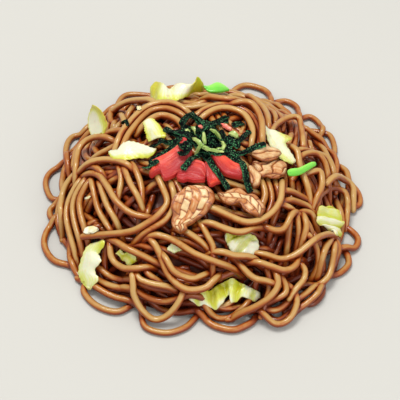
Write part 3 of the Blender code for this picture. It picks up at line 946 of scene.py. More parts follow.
# %% Leaves between strands
top = rolling_top()
leaf(
    "cabbage_front_left",
    near=((-1, 10, 1), (-5.5, 7.5, 2), (-9, 0, 3), (-9, -2, 4), (-6.5, -6.5, 5), (-2.8, -11.8, 6)),
    far=((6, 8, 1), (6.5, 5.5, 1.5), (4, 3.6, 1), (3, 3, 1.5), (4.5, -2, 3), (1.5, -4, 3), (1.5, -6, 3.5),
        (3, -9.5, 5), (-2.5, -11.6, 6)),
    shade=lambda along, across: (
        0.14 + 0.75 * band(along, 0.12, 0.12) * across
        + 0.35 * band(across, 0.0, 0.2)
    ),
    pleats=(0.8, 0.5, 0.1), bulge=1.6, veins=(0.12, 0.9),
)
leaf(
    "cabbage_tucked",
    near=((-6.5, 6, 3), (-5, 5, 3), (-1.5, 1.5, 3), (0.5, -1, 3), (2.5, -1, 3)),
    far=((-4, 6.5, 4), (-1.5, 4.5, 4), (1, 4.5, 5), (4.5, 2, 5), (5.5, -0.5, 4)),
    shade=lambda along, across: 0.45 + 0.3 * band(across, 0.5, 0.15),
    pleats=(1.5, 0.5, 0.2), rows=40, columns=20,
)
leaf(
    "cabbage_chip",
    near=((-5, 2.5, 0.5), (-1, 1.5, 0.5), (4.5, 3, 0.5)),
    far=((-5, 3, 1), (-3.5, 4.8, 1), (0, 6.5, 1), (4.5, 3.5, 1)),
    shade=lambda along, across: 0.22 + 0.1 * along,
    rows=30, columns=16,
)

# %% [markdown]
# The last strands cover the ends of the ones before. They run over the front and the right side, and a few
# long ones swing across the whole heap, which ties it together for the eye.

# %% The last strands
lay_by_hand(
    (
        ((-37, -71), (-36.5, -76), (-36, -80), (-32, -85), (-25, -89), (-17, -88), (-11, -84), (-8, -77)),
        ((-50, -53), (-49, -59), (-45, -64), (-40, -68), (-33, -69), (-26, -67)),
        ((-48, -52), (-40, -59), (-29, -64), (-19, -67), (-11, -69), (-4, -71), (3, -72), (9, -72),
         (14, -70.5), (22, -67.5)),
        ((-28, -55), (-22, -64), (-17, -74), (-8, -81), (2, -80), (7, -76), (10, -72)),
        ((-19, -67), (-14, -74), (-5, -76), (0, -74), (4, -71)),
        ((-12, -51), (-5, -55), (0, -58), (5, -61)),
        ((0, -49), (4, -56), (7, -61), (7, -67)),
        ((-28, -55), (-22, -56), (-16, -58), (-11, -60.5), (-5, -64), (-1, -66), (6, -68.5),
         (12, -69.5), (17, -69)),
        (3, (38, -22), (40, -33), (36, -44)),
        ((47, -27), (56, -24), (64, -23), (68, -27)),
        ((47, -33), (54, -29), (61, -27), (66, -29)),
        ((54, -35), (58, -32), (63, -31), (66, -35)),
        ((45, -36), (53, -37), (60, -38), (63, -43), (62, -48)),
        ((67, -24), (69, -17), (74, -9), (79, -4), (85, -3), (87, -8), (86, -18)),
        ((56, 6), (62, 9), (69, 12), (75, 13), (78, 8), (79, 1)),
        ((56, 0), (62, 5), (68, 8), (72, 6), (74, 1), (75, -7)),
        ((41, 14), (44, 22), (49, 30), (55, 35), (59, 34), (60, 25), (60, 13)),
        (2, (-2, 16), (8, 24), (17, 26), (27, 21), (32, 8), (31, -4)),
        ((20, 28), (30, 27), (35, 14), (35, -3)),
        ((3, 38), (16, 31), (30, 36)),
        ((29, 54), (38, 37), (40, 20)),
        ((53, 7), (56, 2), (57, -5), (59, -11), (61, -17), (62, -21)),
        ((65, -7), (69, -6), (70, -11), (69, -17), (66, -23)),
        ((77, -5), (82, 1), (88, 4), (91, 2), (91, -4)),
        ((50, -42), (49, -49), (48, -57)),
        ((54, -40), (55, -47), (53, -56)),
        ((58, -38), (59, -45), (56, -54)),
        ((66, -46), (68, -50), (69, -55)),
        ((61, -49), (65, -53), (66, -58), (63, -62)),
        ((77, -37), (79, -43), (77, -50)),
        ((76, -35), (74, -42), (71, -49), (68, -57)),
        ((34, -48), (40, -51), (46, -50), (50, -43), (53, -38)),
        ((26, -64), (37, -66), (46, -66), (56, -58)),
        ((44, -75), (50, -73), (55, -69), (59, -67), (66, -67), (72, -62), (75, -53), (76, -47)),
        ((64, -69), (59, -74), (52, -79)),
        ((67, -70), (65, -74), (59, -79), (53, -83)),
        ((51, -77), (46, -82), (40, -85), (33, -84)),
        ((48, -72), (52, -76), (53, -82), (49, -89), (42, -92), (36, -89), (32, -85)),
        ((36, -66), (38, -71), (38, -77), (36, -82)),
        ((42, -69), (46, -73), (47, -78), (43, -81), (39, -82)),
        ((40, -67), (42, -72), (42, -78), (37, -83), (29, -86), (21, -87)),
        ((55, -61), (58, -65), (57, -70), (53, -75)),
        ((29, -66), (39, -69), (46, -70), (52, -66), (54, -61)),
        ((22, -67), (26, -71), (31, -74), (37, -75)),
        ((10, -64), (19, -65.5), (29, -64)),
        ((3, -50), (12, -53), (22, -55), (31, -51)),
        ((4, -43), (16, -48), (26, -51), (36, -47), (44, -37), (46, -22)),
        ((35, -60), (45, -62), (54, -59), (63, -52), (70, -44), (75, -39)),
        ((-33, -54), (-26, -52), (-18, -48), (-14, -40), (-16, -30)),
    )
)
CROSSING = ((-60, -46), (-47, -50), (-36, -52), (-26, -49), (-20, -44), (-18, -39), (-22, -29))
lay_by_hand([CROSSING], dive=1)  # it lies free on the others, so its ends hardly dive
print("top strands:", len(strands["noodles_top"]))

# %% [markdown]
# ## A noodle's skin
#
# A strand becomes a round skin along its path. The path never stands upright, so its sideways direction is
# always level, and the rings don't twist. Both ends are rounded by a few rings that shrink as a ball does.

# %% A round skin
CAP_ANGLES = np.radians([80, 55, 28])
PROBE = 1.0  # how far out of the skin the neighbours are felt


def skin_along(path, radius, sides):
    """Ring points = middle + radius * (cosine of the turn * sideways + sine of the turn * upwards).

    Sideways is the direction of the path crossed with the vertical, and upwards is sideways crossed with it.
    A cap's rings lie radius * sine(angle) past the end and are radius * cosine(angle) wide.
    """
    ahead = unit(np.gradient(path, axis=0))
    sideways = unit(np.cross(ahead, [0, 0, 1]))
    past = radius * np.sin(CAP_ANGLES)[:, None]
    middles = np.vstack([path[0] - ahead[0] * past, path, (path[-1] + ahead[-1] * past)[::-1]])
    caps = len(CAP_ANGLES)
    ahead, sideways = (
        np.vstack([np.repeat(rows[:1], caps, axis=0), rows, np.repeat(rows[-1:], caps, axis=0)])
        for rows in (ahead, sideways)
    )
    upwards = np.cross(sideways, ahead)
    widths = np.concatenate([np.cos(CAP_ANGLES), np.ones(len(path)), np.cos(CAP_ANGLES)[::-1]]) * radius
    turn = np.arange(sides) * 2 * np.pi / sides
    ring = np.cos(turn)[:, None] * sideways[:, None] + np.sin(turn)[:, None] * upwards[:, None]
    return middles[:, None] + widths[:, None, None] * ring, turn


# %% All strands of one kind


def noodle_piece(name, sides, every=1, sauced=0.0):
    """All strands of one kind as one mesh, with the attributes that the painted shade and sauce need.

    A ring stands at every point of a path, or at every second one where nobody looks closely. The skin gives
    the running length, in radii, and the cosine and sine of the turn. Each strand's length starts somewhere
    else, so that no two strands carry the same pattern.
    """
    points, faces, caps, tints, skins, probes = [], [], [], [], [], []
    start = 0
    for path, radius, tint in strands[name]:
        rings, turn = skin_along(path[::every], radius, sides)
        rows = len(rings)
        faces.append(grid_faces(rows, sides, closed=True)[:, ::-1] + start)
        caps.append(start + np.arange(sides))
        caps.append(start + (rows - 1) * sides + np.arange(sides)[::-1])
        run = np.repeat(np.arange(rows) * every * STEP / NOODLE, sides) + tint * 1000
        around = np.tile(turn, rows)
        skins.append(np.column_stack([run, np.cos(around), np.sin(around)]))
        tints.append(np.full(rows * sides, tint + sauced))
        points.append(rings.reshape(-1, 3))
        probes.append(skin_along(path[::every], radius + PROBE, sides)[0].reshape(-1, 3))
        start += rows * sides
    points = np.concatenate(points)
    # buried and crowd carry the painted shade into the finish.
    values = {"buried": how_buried(points), "crowd": crowding(np.concatenate(probes))}
    values.update(tint=np.concatenate(tints), skin=np.concatenate(skins))
    faces = [np.concatenate(faces), np.array(caps)]
    new_piece(name, points, faces, fried_noodle, "noodle", ["noodle_heap"], **values)


# %% [markdown]
# ## The noodles' finish
#
# A fried noodle is tan on its crown and brown in its flanks, and the brown is partly sauce and partly painted
# shade. In the grooves painted shade and sauce make it almost black-red. It is glossy, and most so where the
# painted shade and sauce are deepest.

# %% The pile's top with all strands laid
top = rolling_top()
crowd, crowd_low = noodle_crowd()
print("crowd:", crowd.max().round(1), "at its densest")

# %% Noodle finish
SAUCE_TONES = (  # the painted shade and sauce from which a tone begins, that at which it covers, and the tone
    (-0.6, 1.3, (176, 127, 65)),  # tan
    (0.6, 2.4, (168, 97, 34)),  # light brown
    (2.0, 3.9, (142, 64, 18)),  # brown
    (3.8, 6.2, (118, 44, 15)),  # dark brown
    (6.0, 9.5, (98, 35, 17)),  # almost black-red
)


def noodle_finish():
    """Painted shade and sauce pick a place's tone, from cream on a crown to almost black in a groove.

    The mix = depth in the pile + how far down the flank + how crowded, which are painted shade, + a little
    chance for each strand, and three noises for the sauce: long stretches, fine streaks and patches over
    many strands.
    """
    made = Finish("fried_noodle")
    buried, crowded, tint = made.numbers("buried", "crowd", "tint")
    skin = made.vector("skin")
    stretches = made.noise(skin, 1.0, 2, stretch=(0.11, 0.45, 0.45))
    streaks = made.noise(skin, 0.9, 3)
    patches = made.noise(None, 90, 3)
    fine = made.noise(skin, 5.0, 2)
    # The flank is painted shade: 0 on a strand's crown, 1 at its sides and 2 underneath.
    flank = 1.0 - made.node("ShaderNodeSeparateXYZ", sockets=[skin], output=2)
    # Painted shade deep in the pile, down the flanks and where strands crowd, plus each strand's own tint.
    soaked = buried * 0.55 + flank.between(0.04, 0.9) * 4.0 + crowded.between(0.15, 0.85) * 4.8
    soaked = soaked + (tint - 0.5) * 0.9 - 0.5
    # Over the painted shade go the noises that stand for the sauce itself.
    sauce = soaked + (stretches - 0.5) * 6.0 + (streaks - 0.5) * 1.8 + (patches - 0.5) * 2.0
    cream = made.painted((192, 162, 104), (tint, (182, 147, 88)))
    layers = [(sauce.between(low, high), tone) for low, high, tone in SAUCE_TONES]
    made.set(
        Base_Color=made.painted(cream, *layers),
        Roughness=0.46 - 0.16 * sauce.between(1.0, 5.0) + (fine - 0.5) * 0.1,
        Normal=made.bump(fine + patches * 2, 0.12, 0.5),
        Specular_IOR_Level=0.3,
    )
    return made.set(Coat_Weight=0.5, Coat_Roughness=0.12, Coat_Tint=colour((240, 212, 172)))


fried_noodle = noodle_finish()
noodle_piece("noodles_inside", 8, every=2)
noodle_piece("noodles_buried", 10)
noodle_piece("noodles_rim", 12, sauced=1.4)
noodle_piece("noodles_top", 12)

# %% [markdown]
# ## The core's surface
#
# Between the strands the core shows as the dark bottom of the gaps, so it is lumpy, and its dark brown is
# painted shade as much as sauce.

# %% The core as a piece


def core_piece():
    """A dome of rings: each ring point lies at its share of the reach, at the core's height there.

    The height goes up and down in lumps: the sine of x times the sine of y. A flat floor closes it below.
    """
    rings, bearings = 40, 96
    share = np.linspace(0.01, 1, rings)[:, None] * np.ones(bearings)
    angle = np.linspace(0, 2 * np.pi, bearings, endpoint=False) * np.ones((rings, 1))
    xy = turned_to(angle, share * CORE_REACH)
    lumps = 0.9 * np.sin(xy[..., 0] / 2.7) * np.sin(xy[..., 1] / 3.1) - 1.5
    z = np.maximum(0.05, core_height(xy) + lumps)
    points = np.concatenate([xy, z[..., None]], axis=-1)[::-1].reshape(-1, 3)
    floor = points[:bearings] * [1, 1, 0]
    points = np.vstack([floor, points])
    faces = [grid_faces(rings + 1, bearings, closed=True), lids(rings + 1, bearings)]
    new_piece("sauce_and_shade_core", points, faces, core_finish(), "noodle", ["noodle_heap"])


def core_finish():
    """Patches of two dark browns, painted shade as much as sauce."""
    made = Finish("dark_sauce_and_shade")
    patches = made.noise(None, 220, 3)
    shade = made.painted((86, 32, 16), (patches.between(0.35, 0.7), (116, 52, 24)))
    return made.set(Base_Color=shade, Roughness=0.35, Normal=made.bump(patches, 1.0))


core_piece()

# %% [markdown]
# ## Leaves on top
#
# The other leaves lie over the strands. At the back one stands up along the rim with its tips in the air,
# on the left one stands on its foot, and on the right one lies like a fan whose ribs run to one corner.

# %% Leaves on top
leaf(
    "cabbage_back",
    near=((-16, 5, 1), (-15.5, 2, 1), (-12, -8, 1), (-8, -11.5, 1), (-4, -13, 1), (0.5, -9.5, 1), (5, -4, 1),
        (8.5, 2, 1), (14.5, 4, 1), (16.5, 7, 2)),
    far=((-16.5, 8.5, 6), (-15.5, 10, 9), (-12, 12, 11.5), (-7, 3, 9), (-5, 2.5, 6.5), (0, 4, 9),
        (7.5, 1, 9), (10.5, 3, 10.5), (12.5, 5, 13), (15.5, 6.5, 7)),
    shade=lambda along, across: (
        1.05 * band(along, 0.12, 0.19) + 0.85 * band(along, 0.9, 0.12)
        + 0.6 * band(across, 0.05, 0.3)
    ),
    pleats=(3.5, 0.6, 0.1), bulge=0.6, rows=130,
)
leaf(
    "cabbage_back_left",
    near=((0, -4.5, -2), (-3, 2, 4), (-5.5, 9.5, 11), (-4.5, 12, 18), (-2.4, 11.4, 24)),
    far=((3.5, -7, -2), (5, -5.5, 3), (7.2, -2.5, 9), (5, 3, 16), (1.5, 7, 21.5), (-2, 11, 24.4)),
    shade=lambda along, across: (
        1.1 * band(across, 1.0, 0.26) + 0.7 * band(across, 0.0, 0.08)
        + 0.7 * band(along, 1.0, 0.16)
    ),
    pleats=(0.5, 0.4, 0.1), bulge=-1.6, veins=(0.12, 0.9),
)
leaf(
    "cabbage_by_nori",
    near=((-7, 7, 1.5), (-5.5, 0, 1.5), (-3.5, -7, 1.5)),
    far=((-2.4, 8.6, 2.5), (0.5, 6, 2.5), (6.5, -5.5, 2.5), (6, -7.5, 1.5)),
    shade=lambda along, across: 0.08 + 0.45 * band(across, 0.0, 0.2) + 0.55 * band(across, 0.95, 0.25),
    pleats=(0.6, 0.4, 0.3), bulge=0.9, veins=(0.12, 0.9),
)
leaf(
    "cabbage_left",
    near=((-14, 2.5, 1), (-12.5, -2, 1), (-10, -5.5, 1.5), (-7, -7.5, 1.5), (-1.5, -7, 1), (3.5, -6, 1),
        (10.5, -6.5, 1), (13.5, -3.2, 2)),
    far=((-14, 3.2, 1), (-8.5, 2, 2.5), (-6, 4.6, 3.5), (-0.5, 5, 3.5), (6.5, 1, 3), (13.5, -2.8, 2)),
    shade=lambda along, across: 0.04 + 0.85 * band(across, 0.0, 0.26),
    pleats=(0.6, 0.25, 0.0), bulge=0.9, veins=(0.12, 0.9),
)
leaf(
    "cabbage_right",
    near=((-3.5, 7, 1), (-7.5, 3, 1.5), (-9, 0, 1), (-9, -2.5, 1), (-10, -6, 1.5), (-8.5, -7, 1),
        (-3.5, -5.5, 1), (0, -5.5, 1), (1, -8.8, 1)),
    far=((-1, 9, 2), (3.5, 10.5, 2.5), (6, 9, 2.5), (6.8, 6.5, 2.5), (8, 4.5, 2.5), (5.5, 1, 2),
        (6, -2.5, 2), (4.2, -5.5, 1.5), (1.6, -8.8, 1)),
    shade=lambda along, across: 0.6 * band(along, 0.08, 0.2) + 0.3 * band(across, 1.0, 0.2) + 0.28,
    pleats=(4.6, 0.8, 0.1), bulge=1.4, rows=130,
)
leaf(
    "cabbage_back_right",
    near=((-9, 8, 1), (-8.5, 4.5, 1), (-7, -0.5, 1), (-2.5, -5.5, 1), (1.5, -8.5, 1.5), (7.4, -9.4, 1)),
    far=((-6, 8, 3), (-3, 8.6, 4), (6, 8, 4.5), (7, 6.5, 4), (3.8, 2, 2.5), (9, -6, 1.5), (7.8, -8.8, 1)),
    shade=lambda along, across: (
        0.32 * band(across, 0.0, 0.35)
        + 0.7 * band(across, 1.0, 0.42) * band(along, 0.38, 0.3)
    ),
    pleats=(0.7, 0.5, 0.1), bulge=1.2, veins=(0.12, 0.9),
)

# %% [markdown]
# ## Slabs: pork, ginger and spring onion
#
# A slice of pork, a cut of ginger and a length of onion are slabs between two edges, just as the leaves are
# sheets. The section from edge to edge is a superellipse, which runs from an ellipse to almost a box as its
# power grows.

# %% A rounded slab
FLATNESS = 3.0  # how many times wider than high a typical slab is


def power(value, exponent):
    """The value raised to an exponent, with its sign kept."""
    return np.sign(value) * np.abs(value) ** exponent


def section(box, sides):
    """Points at even distances round a superellipse: across = (cos t)^(2 / box), up = (sin t)^(2 / box)."""
    turn = np.linspace(0, 2 * np.pi, 2001)
    outline = np.column_stack([power(np.cos(turn), 2 / box), power(np.sin(turn), 2 / box)])
    run = running_length(outline * [FLATNESS, 1])
    places = np.linspace(0, run[-1], sides, endpoint=False)
    return [np.interp(places, run, part) for part in outline.T]


def slab(
    name, node, near, far, thickness, box, relief, finish, slot, blunt=10, rows=100, sides=96, drape=1.0
):
    """Lays a slab on the pile. Its size shrinks towards both ends as sqrt(1 - |2 along - 1|^blunt).

    The relief returns how far each place is raised, and the values that the finish needs, by name. With a
    drape of 1 the slab follows the pile under it, and with 0 it lies in the plane nearest to it.
    """
    across, up = (np.ones((rows, 1)) * part for part in section(box, sides))
    along = np.linspace(0, 1, rows)[:, None] * np.ones(sides)
    end = np.clip(1 - np.abs(2 * along - 1) ** blunt, 0.0004, 1) ** 0.5
    points = stretched(node, near, far, (1 + across * end) / 2)
    flat = points.reshape(-1, 3)
    level = np.column_stack([flat[:, :2], np.ones(len(flat))])
    plane = (level @ np.linalg.lstsq(level, flat[:, 2], rcond=None)[0]).reshape(points.shape[:2])
    points[..., 2] = points[..., 2] * drape + plane * (1 - drape)
    raised, values = relief(along, across, up)
    points[..., 2] += end * (up * thickness / 2 + np.clip(up, 0, 1) * raised) + thickness / 2
    points = points.reshape(-1, 3)
    rim = np.maximum(np.abs(across) ** 5, np.abs(2 * along - 1) ** 7)
    values = {**values, "upward": up, "rim": rim, "across": across}
    values = {title: field.ravel() for title, field in values.items()}
    spans = (np.ptp(np.array(near)[:, :2], axis=0) + np.ptp(np.array(far)[:, :2], axis=0)) / 2
    length = np.hypot(*spans)
    values["grain"] = np.stack([along * length, across * length / 4, up * 2], axis=-1).reshape(-1, 3)
    pile.lay_points(points)
    faces = [grid_faces(rows, sides, closed=True), lids(rows, sides)]
    new_piece(name, points, faces, finish, slot, [node], **values)


# %% [markdown]
# ## Pork
#
# Thin slices of pork belly curl as they fry. Muscle lies in bundles, pale in the middle and browned where
# the juices ran between them. So each slice is divided into rows of bundles, each bundle is raised a little
# like a cushion, and the rims are browned darkest.

# %% Pork


def pork_finish():
    """Flesh between pale and tan, browned in clouds and at the rim, with dark seams between the bundles."""
    made = Finish("fried_pork")
    rim, upward, pale, seam = made.numbers("rim", "upward", "pale", "seam")
    strokes = made.noise(made.vector("grain"), 1.0, 4, 0.6, stretch=(0.35, 1.5, 0.6))
    browning = made.noise(None, 190, 4, 0.6)
    painted = made.painted(
        (188, 114, 50),
        ((pale + (strokes - 0.5) * 1.3).between(0.1, 0.8), (224, 194, 142)),
        ((browning * 1.4 - 0.3 + rim * 0.7 - upward * 0.15).between(0.2, 0.95), (150, 76, 22)),
        ((seam + (browning - 0.5) * 0.8).between(0.5, 0.95) * 0.9, (108, 46, 14)),
    )
    relief = made.bump(strokes + browning * 0.6, 0.6, 0.8)
    made.set(Base_Color=painted, Roughness=0.36 + 0.2 * (browning - 0.5), Normal=relief)
    return made.set(Coat_Weight=0.2, Coat_Roughness=0.2)


fried_pork = pork_finish()


# %% Bundles of muscle


def bundles(across_count, along_count, slant=0.0, depth=0.9):
    """Cushions in rows: each is highest in its middle, and every second row is moved on by a half.

    With s the distance from a bundle's middle as a share of half its width, its height is depth * (1 - s^3).
    """

    def relief(along, across, up):
        """Raised = the cushions and slow folds. Pale = 1 away from seams, by each bundle's own tone."""
        row = (across + 1) / 2 * across_count + 0.3 * np.sin(along * 6 + 1)
        piece = along * along_count + slant * across + 0.5 * np.floor(row) + 0.15 * np.sin(across * 5)
        seams = [np.abs(2 * (part - np.floor(part)) - 1) for part in (row, piece)]
        seam = np.maximum(seams[0], seams[1] if along_count else 0) ** 3
        tone = np.sin(np.floor(row) * 12.99 + np.floor(piece) * 78.23) * 0.5 + 0.5
        fatty = 0.5 - 0.5 * np.cos(np.pi * np.floor(row)) if across_count > 2 else 0.35
        pale = (1 - seam) * (0.15 + 0.45 * tone + 0.6 * fatty)
        folds = 0.3 * np.sin(along * 9 + across * 2)
        return depth * (1 - seam) - depth + folds, {"pale": pale, "seam": seam}

    return relief


def pork(node, near, far, thickness, relief):
    """A slab whose section is a rounded box."""
    slab(node.replace("pork", "pork_slice"), node, near, far, thickness, 2.6, relief, fried_pork, "pork")


# %% Slices of pork
pork(
    "pork_front_left",
    near=((-6.5, -9, 0), (-9.5, -6.5, 0.5), (-10.8, -3, 0.5), (-10, 0, 0.5), (-11.2, 3.5, 0.5),
        (-9.5, 8, 0.5), (-6, 11.5, 1), (-2.5, 15, 1)),
    far=((-5.5, -9, 0), (-2, -7, 0.5), (-2, -4.5, 0.5), (1.5, -3, 0.5), (8, 0, 1), (12.5, 5.5, 1),
        (12.5, 11, 1), (8.5, 15, 1), (0, 15.5, 1)),
    thickness=4.2, relief=bundles(5, 6.5, slant=0.9, depth=0.7),
)
pork(
    "pork_front_right",
    near=((-14, 4, 0.5), (-11, 0, 0.5), (-6, -2, 0.5), (-1.5, -0.5, 0.5), (0.5, -3.5, 0.5), (5, -6.5, 0.5),
        (9.5, -8, 0.5)),
    far=((-13.5, 4.8, 0.5), (-9, 5, 1), (-5.5, 7, 1.5), (-1, 8, 1.5), (3, 5.5, 1.5), (7.5, 5, 1.5),
        (11.5, 1, 1), (12.8, -2.5, 1), (10, -7.5, 0.5)),
    thickness=4.2, relief=bundles(3, 5.5, slant=0.5, depth=0.7),
)
pork(
    "pork_middle",
    near=((-4.2, 6.5, 0.5), (-3.4, 1.5, 0.5), (-2.4, -3.5, 0.5), (-1, -6.8, 0.5)),
    far=((-2, 7, 1), (1.5, 4.5, 1), (3.4, 1.5, 1), (2.4, -4.5, 0.5), (-0.5, -6.8, 0.5)),
    thickness=3.6, relief=bundles(1, 0, depth=0.5),
)
pork(
    "pork_right_under",
    near=((-12, 1, 0), (-10, -1, 0), (-8.5, -4, 0), (-6, -5.5, 0), (-4, -4.5, 0), (-1, -5.5, 0),
        (2.5, -5, 0), (4, -2, 0), (7, 0, 0)),
    far=((-12, 4.5, 1), (-5, 5, 1), (4.5, 10, 1), (8, 9, 1), (8, 4, 1), (7.5, 1, 0)),
    thickness=4.2, relief=bundles(1, 4, depth=1.6),
)
top = rolling_top()
pork(
    "pork_right_top",
    near=((-9, -2.5, 0), (-6, -5, 0), (-1.5, -6, 0), (5, -2, 0), (8.5, 2.5, 0)),
    far=((-8.5, -1.5, 0.5), (-5, 2, 1), (-1, 4.5, 1), (6.5, 5, 1), (9, 3.5, 0.5)),
    thickness=2.8, relief=bundles(2, 0, depth=0.8),
)

# %% [markdown]
# ## Red ginger
#
# Pickled ginger is cut into thick batons. Its fibres run along the cut, and it is clear enough for the
# light to glow in it. Light and shade are painted on it too: salmon on the faces turned up and to one
# side, and a deep red on the flanks.

# %% Red ginger


def ginger_finish():
    """Deep red, with painted light in salmon where a face turns up and to one side.

    Then dark and light fibres, and a lighter red at the rims.
    """
    made = Finish("pickled_ginger")
    upward, across, rim, deep = made.numbers("upward", "across", "rim", "deep")
    fibres = made.noise(made.vector("grain"), 1.0, 4, 0.6, stretch=(0.1, 1.5, 1.0))
    cloud = made.noise(None, 160, 2)
    # Painted light: salmon where a face turns up and to one side, less towards the deep end; the deep red
    # left on the flanks is painted shade.
    turned = upward * 0.8 + across * 0.45 + (cloud - 0.5) * 0.5 - deep
    painted = made.painted(
        (170, 12, 16),
        (turned.between(0.3, 1.1), made.painted((229, 54, 26), (cloud.between(0.3, 0.7), (240, 82, 46)))),
        (fibres.between(0.48, 0.62) * 0.8, (176, 22, 28)),
        (fibres.between(0.45, 0.28) * 0.35, (255, 146, 104)),
        (rim.between(0.5, 1.0) * 0.4, (226, 60, 56)),
    )
    made.set(Base_Color=painted, Roughness=0.45, Normal=made.bump(fibres, 0.8, 0.8))
    made.set(Subsurface_Weight=0.08, Subsurface_Radius=(1.0, 0.25, 0.15), Subsurface_Scale=0.003)
    return made.set(Coat_Weight=0.12, Coat_Roughness=0.2)


pickled_ginger = ginger_finish()


# %% Ridges along a baton


def ridged(number, depth, deep_start, deep_end):
    """Ridges along a baton: depth * |sin(number * pi * across)|, sharp in the grooves between them.

    Its colour deepens from one end to the other.
    """

    def relief(along, across, up):
        """Raised = the ridges and a slow wave."""
        ridge = np.abs(np.sin(number * np.pi * (across + 0.1 * np.sin(3 * along))))
        deep = deep_start * (1 - along) + deep_end * along
        return depth * (ridge - 1) + 0.2 * np.sin(6 * along + 1), {"deep": deep}

    return relief


def ginger(node, near, far, thickness, relief):
    """A slab with sharp edges and straight-cut ends."""
    name = node.replace("ginger", "ginger_cut")
    slab(name, node, near, far, thickness, 7.0, relief, pickled_ginger, "red_ginger", blunt=30)


# %% Cuts of ginger
ginger(
    "ginger_left",
    near=((-12, -7.5, 0), (-9.5, -9.5, 0), (-5.5, -8, 0), (-4.5, -10.5, 0), (-2.5, -12.5, 0), (3.5, -9, 0),
        (9, -2.5, 1), (12, 2, 2)),
    far=((-11.5, -6.5, 0), (-8, -3.5, 0.5), (-10.5, -1, 1.5), (-2, 3, 2.5), (4.5, 7.5, 3), (6.5, 12, 3),
        (9, 11, 3), (9, 7, 3), (12.5, 4.5, 2.5)),
    thickness=4.4, relief=ridged(1, 0.5, -0.3, 0.9),
)
ginger(
    "ginger_middle",
    near=((-7.4, -1.5, 0), (-6.5, -3.5, 0), (-3.5, -4.8, 0), (-1, -3.8, 0), (2.5, -5.2, 0), (8.5, -4.8, 0)),
    far=((-6.5, 0, 0.5), (-3.5, 3.5, 1.5), (-1, 5.5, 2.5), (3.5, 6.5, 2.5), (8, 5, 2), (8.8, 1, 1.5),
        (8.8, -3, 0.5)),
    thickness=4.0, relief=ridged(1.5, 0.6, 0.5, 0.35),
)
ginger(
    "ginger_wedge",
    near=((-4.6, 6, 1.5), (-4.2, 2, 1), (-3.4, -4, 0), (-2.2, -8, 0)),
    far=((-4, 6.4, 1.8), (0, 2.5, 1.2), (4.2, -4.5, 0.5), (2, -6, 0.5), (-1, -8, 0)),
    thickness=3.4, relief=ridged(0.5, 0.3, 0.1, 0.0),
)
ginger(
    "ginger_right",
    near=((-9, 6, 1.5), (-7.5, 2.5, 1), (-4.5, -2, 0.5), (-1, -5.5, 0), (3.5, -7, 0), (8.5, -7.5, 0)),
    far=((-8.5, 6.8, 2), (-3.5, 6, 2), (0.5, 3.5, 1.5), (4.5, 1, 1), (8.8, -0.8, 0.5), (9, -6.5, 0)),
    thickness=4.4, relief=ridged(1, 0.4, -0.1, 0.4),
)

# %% [markdown]
# ## Spring onion
#
# Two cuts of green onion lie on the right and at the back. Each is a piece of the flattened leaf tube,
# glossy and lined along its length.

# %% Spring onion


def onion_finish():
    """Green that lightens from one edge to the other, with lines along the leaf."""
    made = Finish("green_onion")
    (across,) = made.numbers("across")
    lines = made.noise(made.vector("grain"), 1.0, 2, stretch=(0.1, 2.4, 1))
    green = made.painted((104, 200, 52), ((across + (lines - 0.5) * 1.2).between(-0.6, 0.7), (146, 228, 84)))
    made.set(Base_Color=green, Roughness=0.3, Normal=made.bump(lines, 0.4), Coat_Weight=0.4)
    return made.set(Subsurface_Weight=0.1, Subsurface_Scale=0.003)


green_onion = onion_finish()


def onion(node, near, far, thickness, relief, blunt, drape):
    """A smaller slab with a softly rounded section."""
    name = node.replace("spring_onion", "onion_cut")
    slab(name, node, near, far, thickness, 3.0, relief, green_onion, "spring_onion", blunt, 60, 48, drape)


def creased(along, across, up):
    """A crease across the middle, with the two halves rising towards it."""
    return 1.1 * (1 - np.abs(2 * along - 1)), {}


def bumped(along, across, up):
    """One low bump across, a quarter of the way along."""
    return 0.5 * band(along, 0.25, 0.12), {}


# %% Cuts of onion
onion(
    "spring_onion_back",
    near=((-8, 0, 1.5), (-4, -3.4, 1.2), (1.5, -2.6, 1.2), (7.6, 2, 1.5)),
    far=((-7.8, 1, 1.5), (-4, 4, 3), (0.5, 6.6, 5), (4, 6, 4), (7.8, 2.8, 2)),
    thickness=1.8, relief=creased, blunt=20, drape=0.8,
)
onion(
    "spring_onion_right",
    near=((-8.2, -5.4, 1.6), (-7, -6.6, 1.6), (-2, -4, 1.6), (2.5, 0.2, 1.6), (6.5, 4.6, 1.6),
        (10, 8.4, 1.6)),
    far=((-8, -4.2, 1.8), (-6, -2.2, 1.8), (-1.5, 0.6, 1.8), (2.5, 4.4, 1.8), (6.5, 8.2, 1.8),
        (9.4, 9.8, 1.8)),
    thickness=1.7, relief=bumped, blunt=40, drape=0.0,
)

# %% [markdown]
# ## Nori
#
# Shredded nori is cut from a dry sheet, so every shred is a flat, thin strip 3 to 4 mm wide. In the steam it
# crinkles and twists. A tangle of short shreds lies in the middle, and longer ones reach out over the ginger,
# the pork and the noodles. Each is let down onto the pile just as the noodles were.

# %% Sizes of the shreds
NORI_WIDTH = 3.7
NORI_THICKNESS = 0.3
SHRED_STEP = 0.6
SHRED_COLUMNS = 9
SHRED_FEELS, SHRED_FILLS = 0.7, 0.6  # radii of the balls that feel the pile, and that raise it
tuft_low, tuft_high = box_mm("nori_tuft")
TUFT = ((tuft_low + tuft_high) / 2)[:2]
NORI_TOP = tuft_high[2] - 1.0  # the ceiling for the shreds
SLIVER_TOP = tuft_high[2] + 1.0  # the slivers lie on top of them
print("tuft of nori around", TUFT.round(1), "mm, up to", tuft_high[2].round(1), "mm")


# %% A crinkled strip


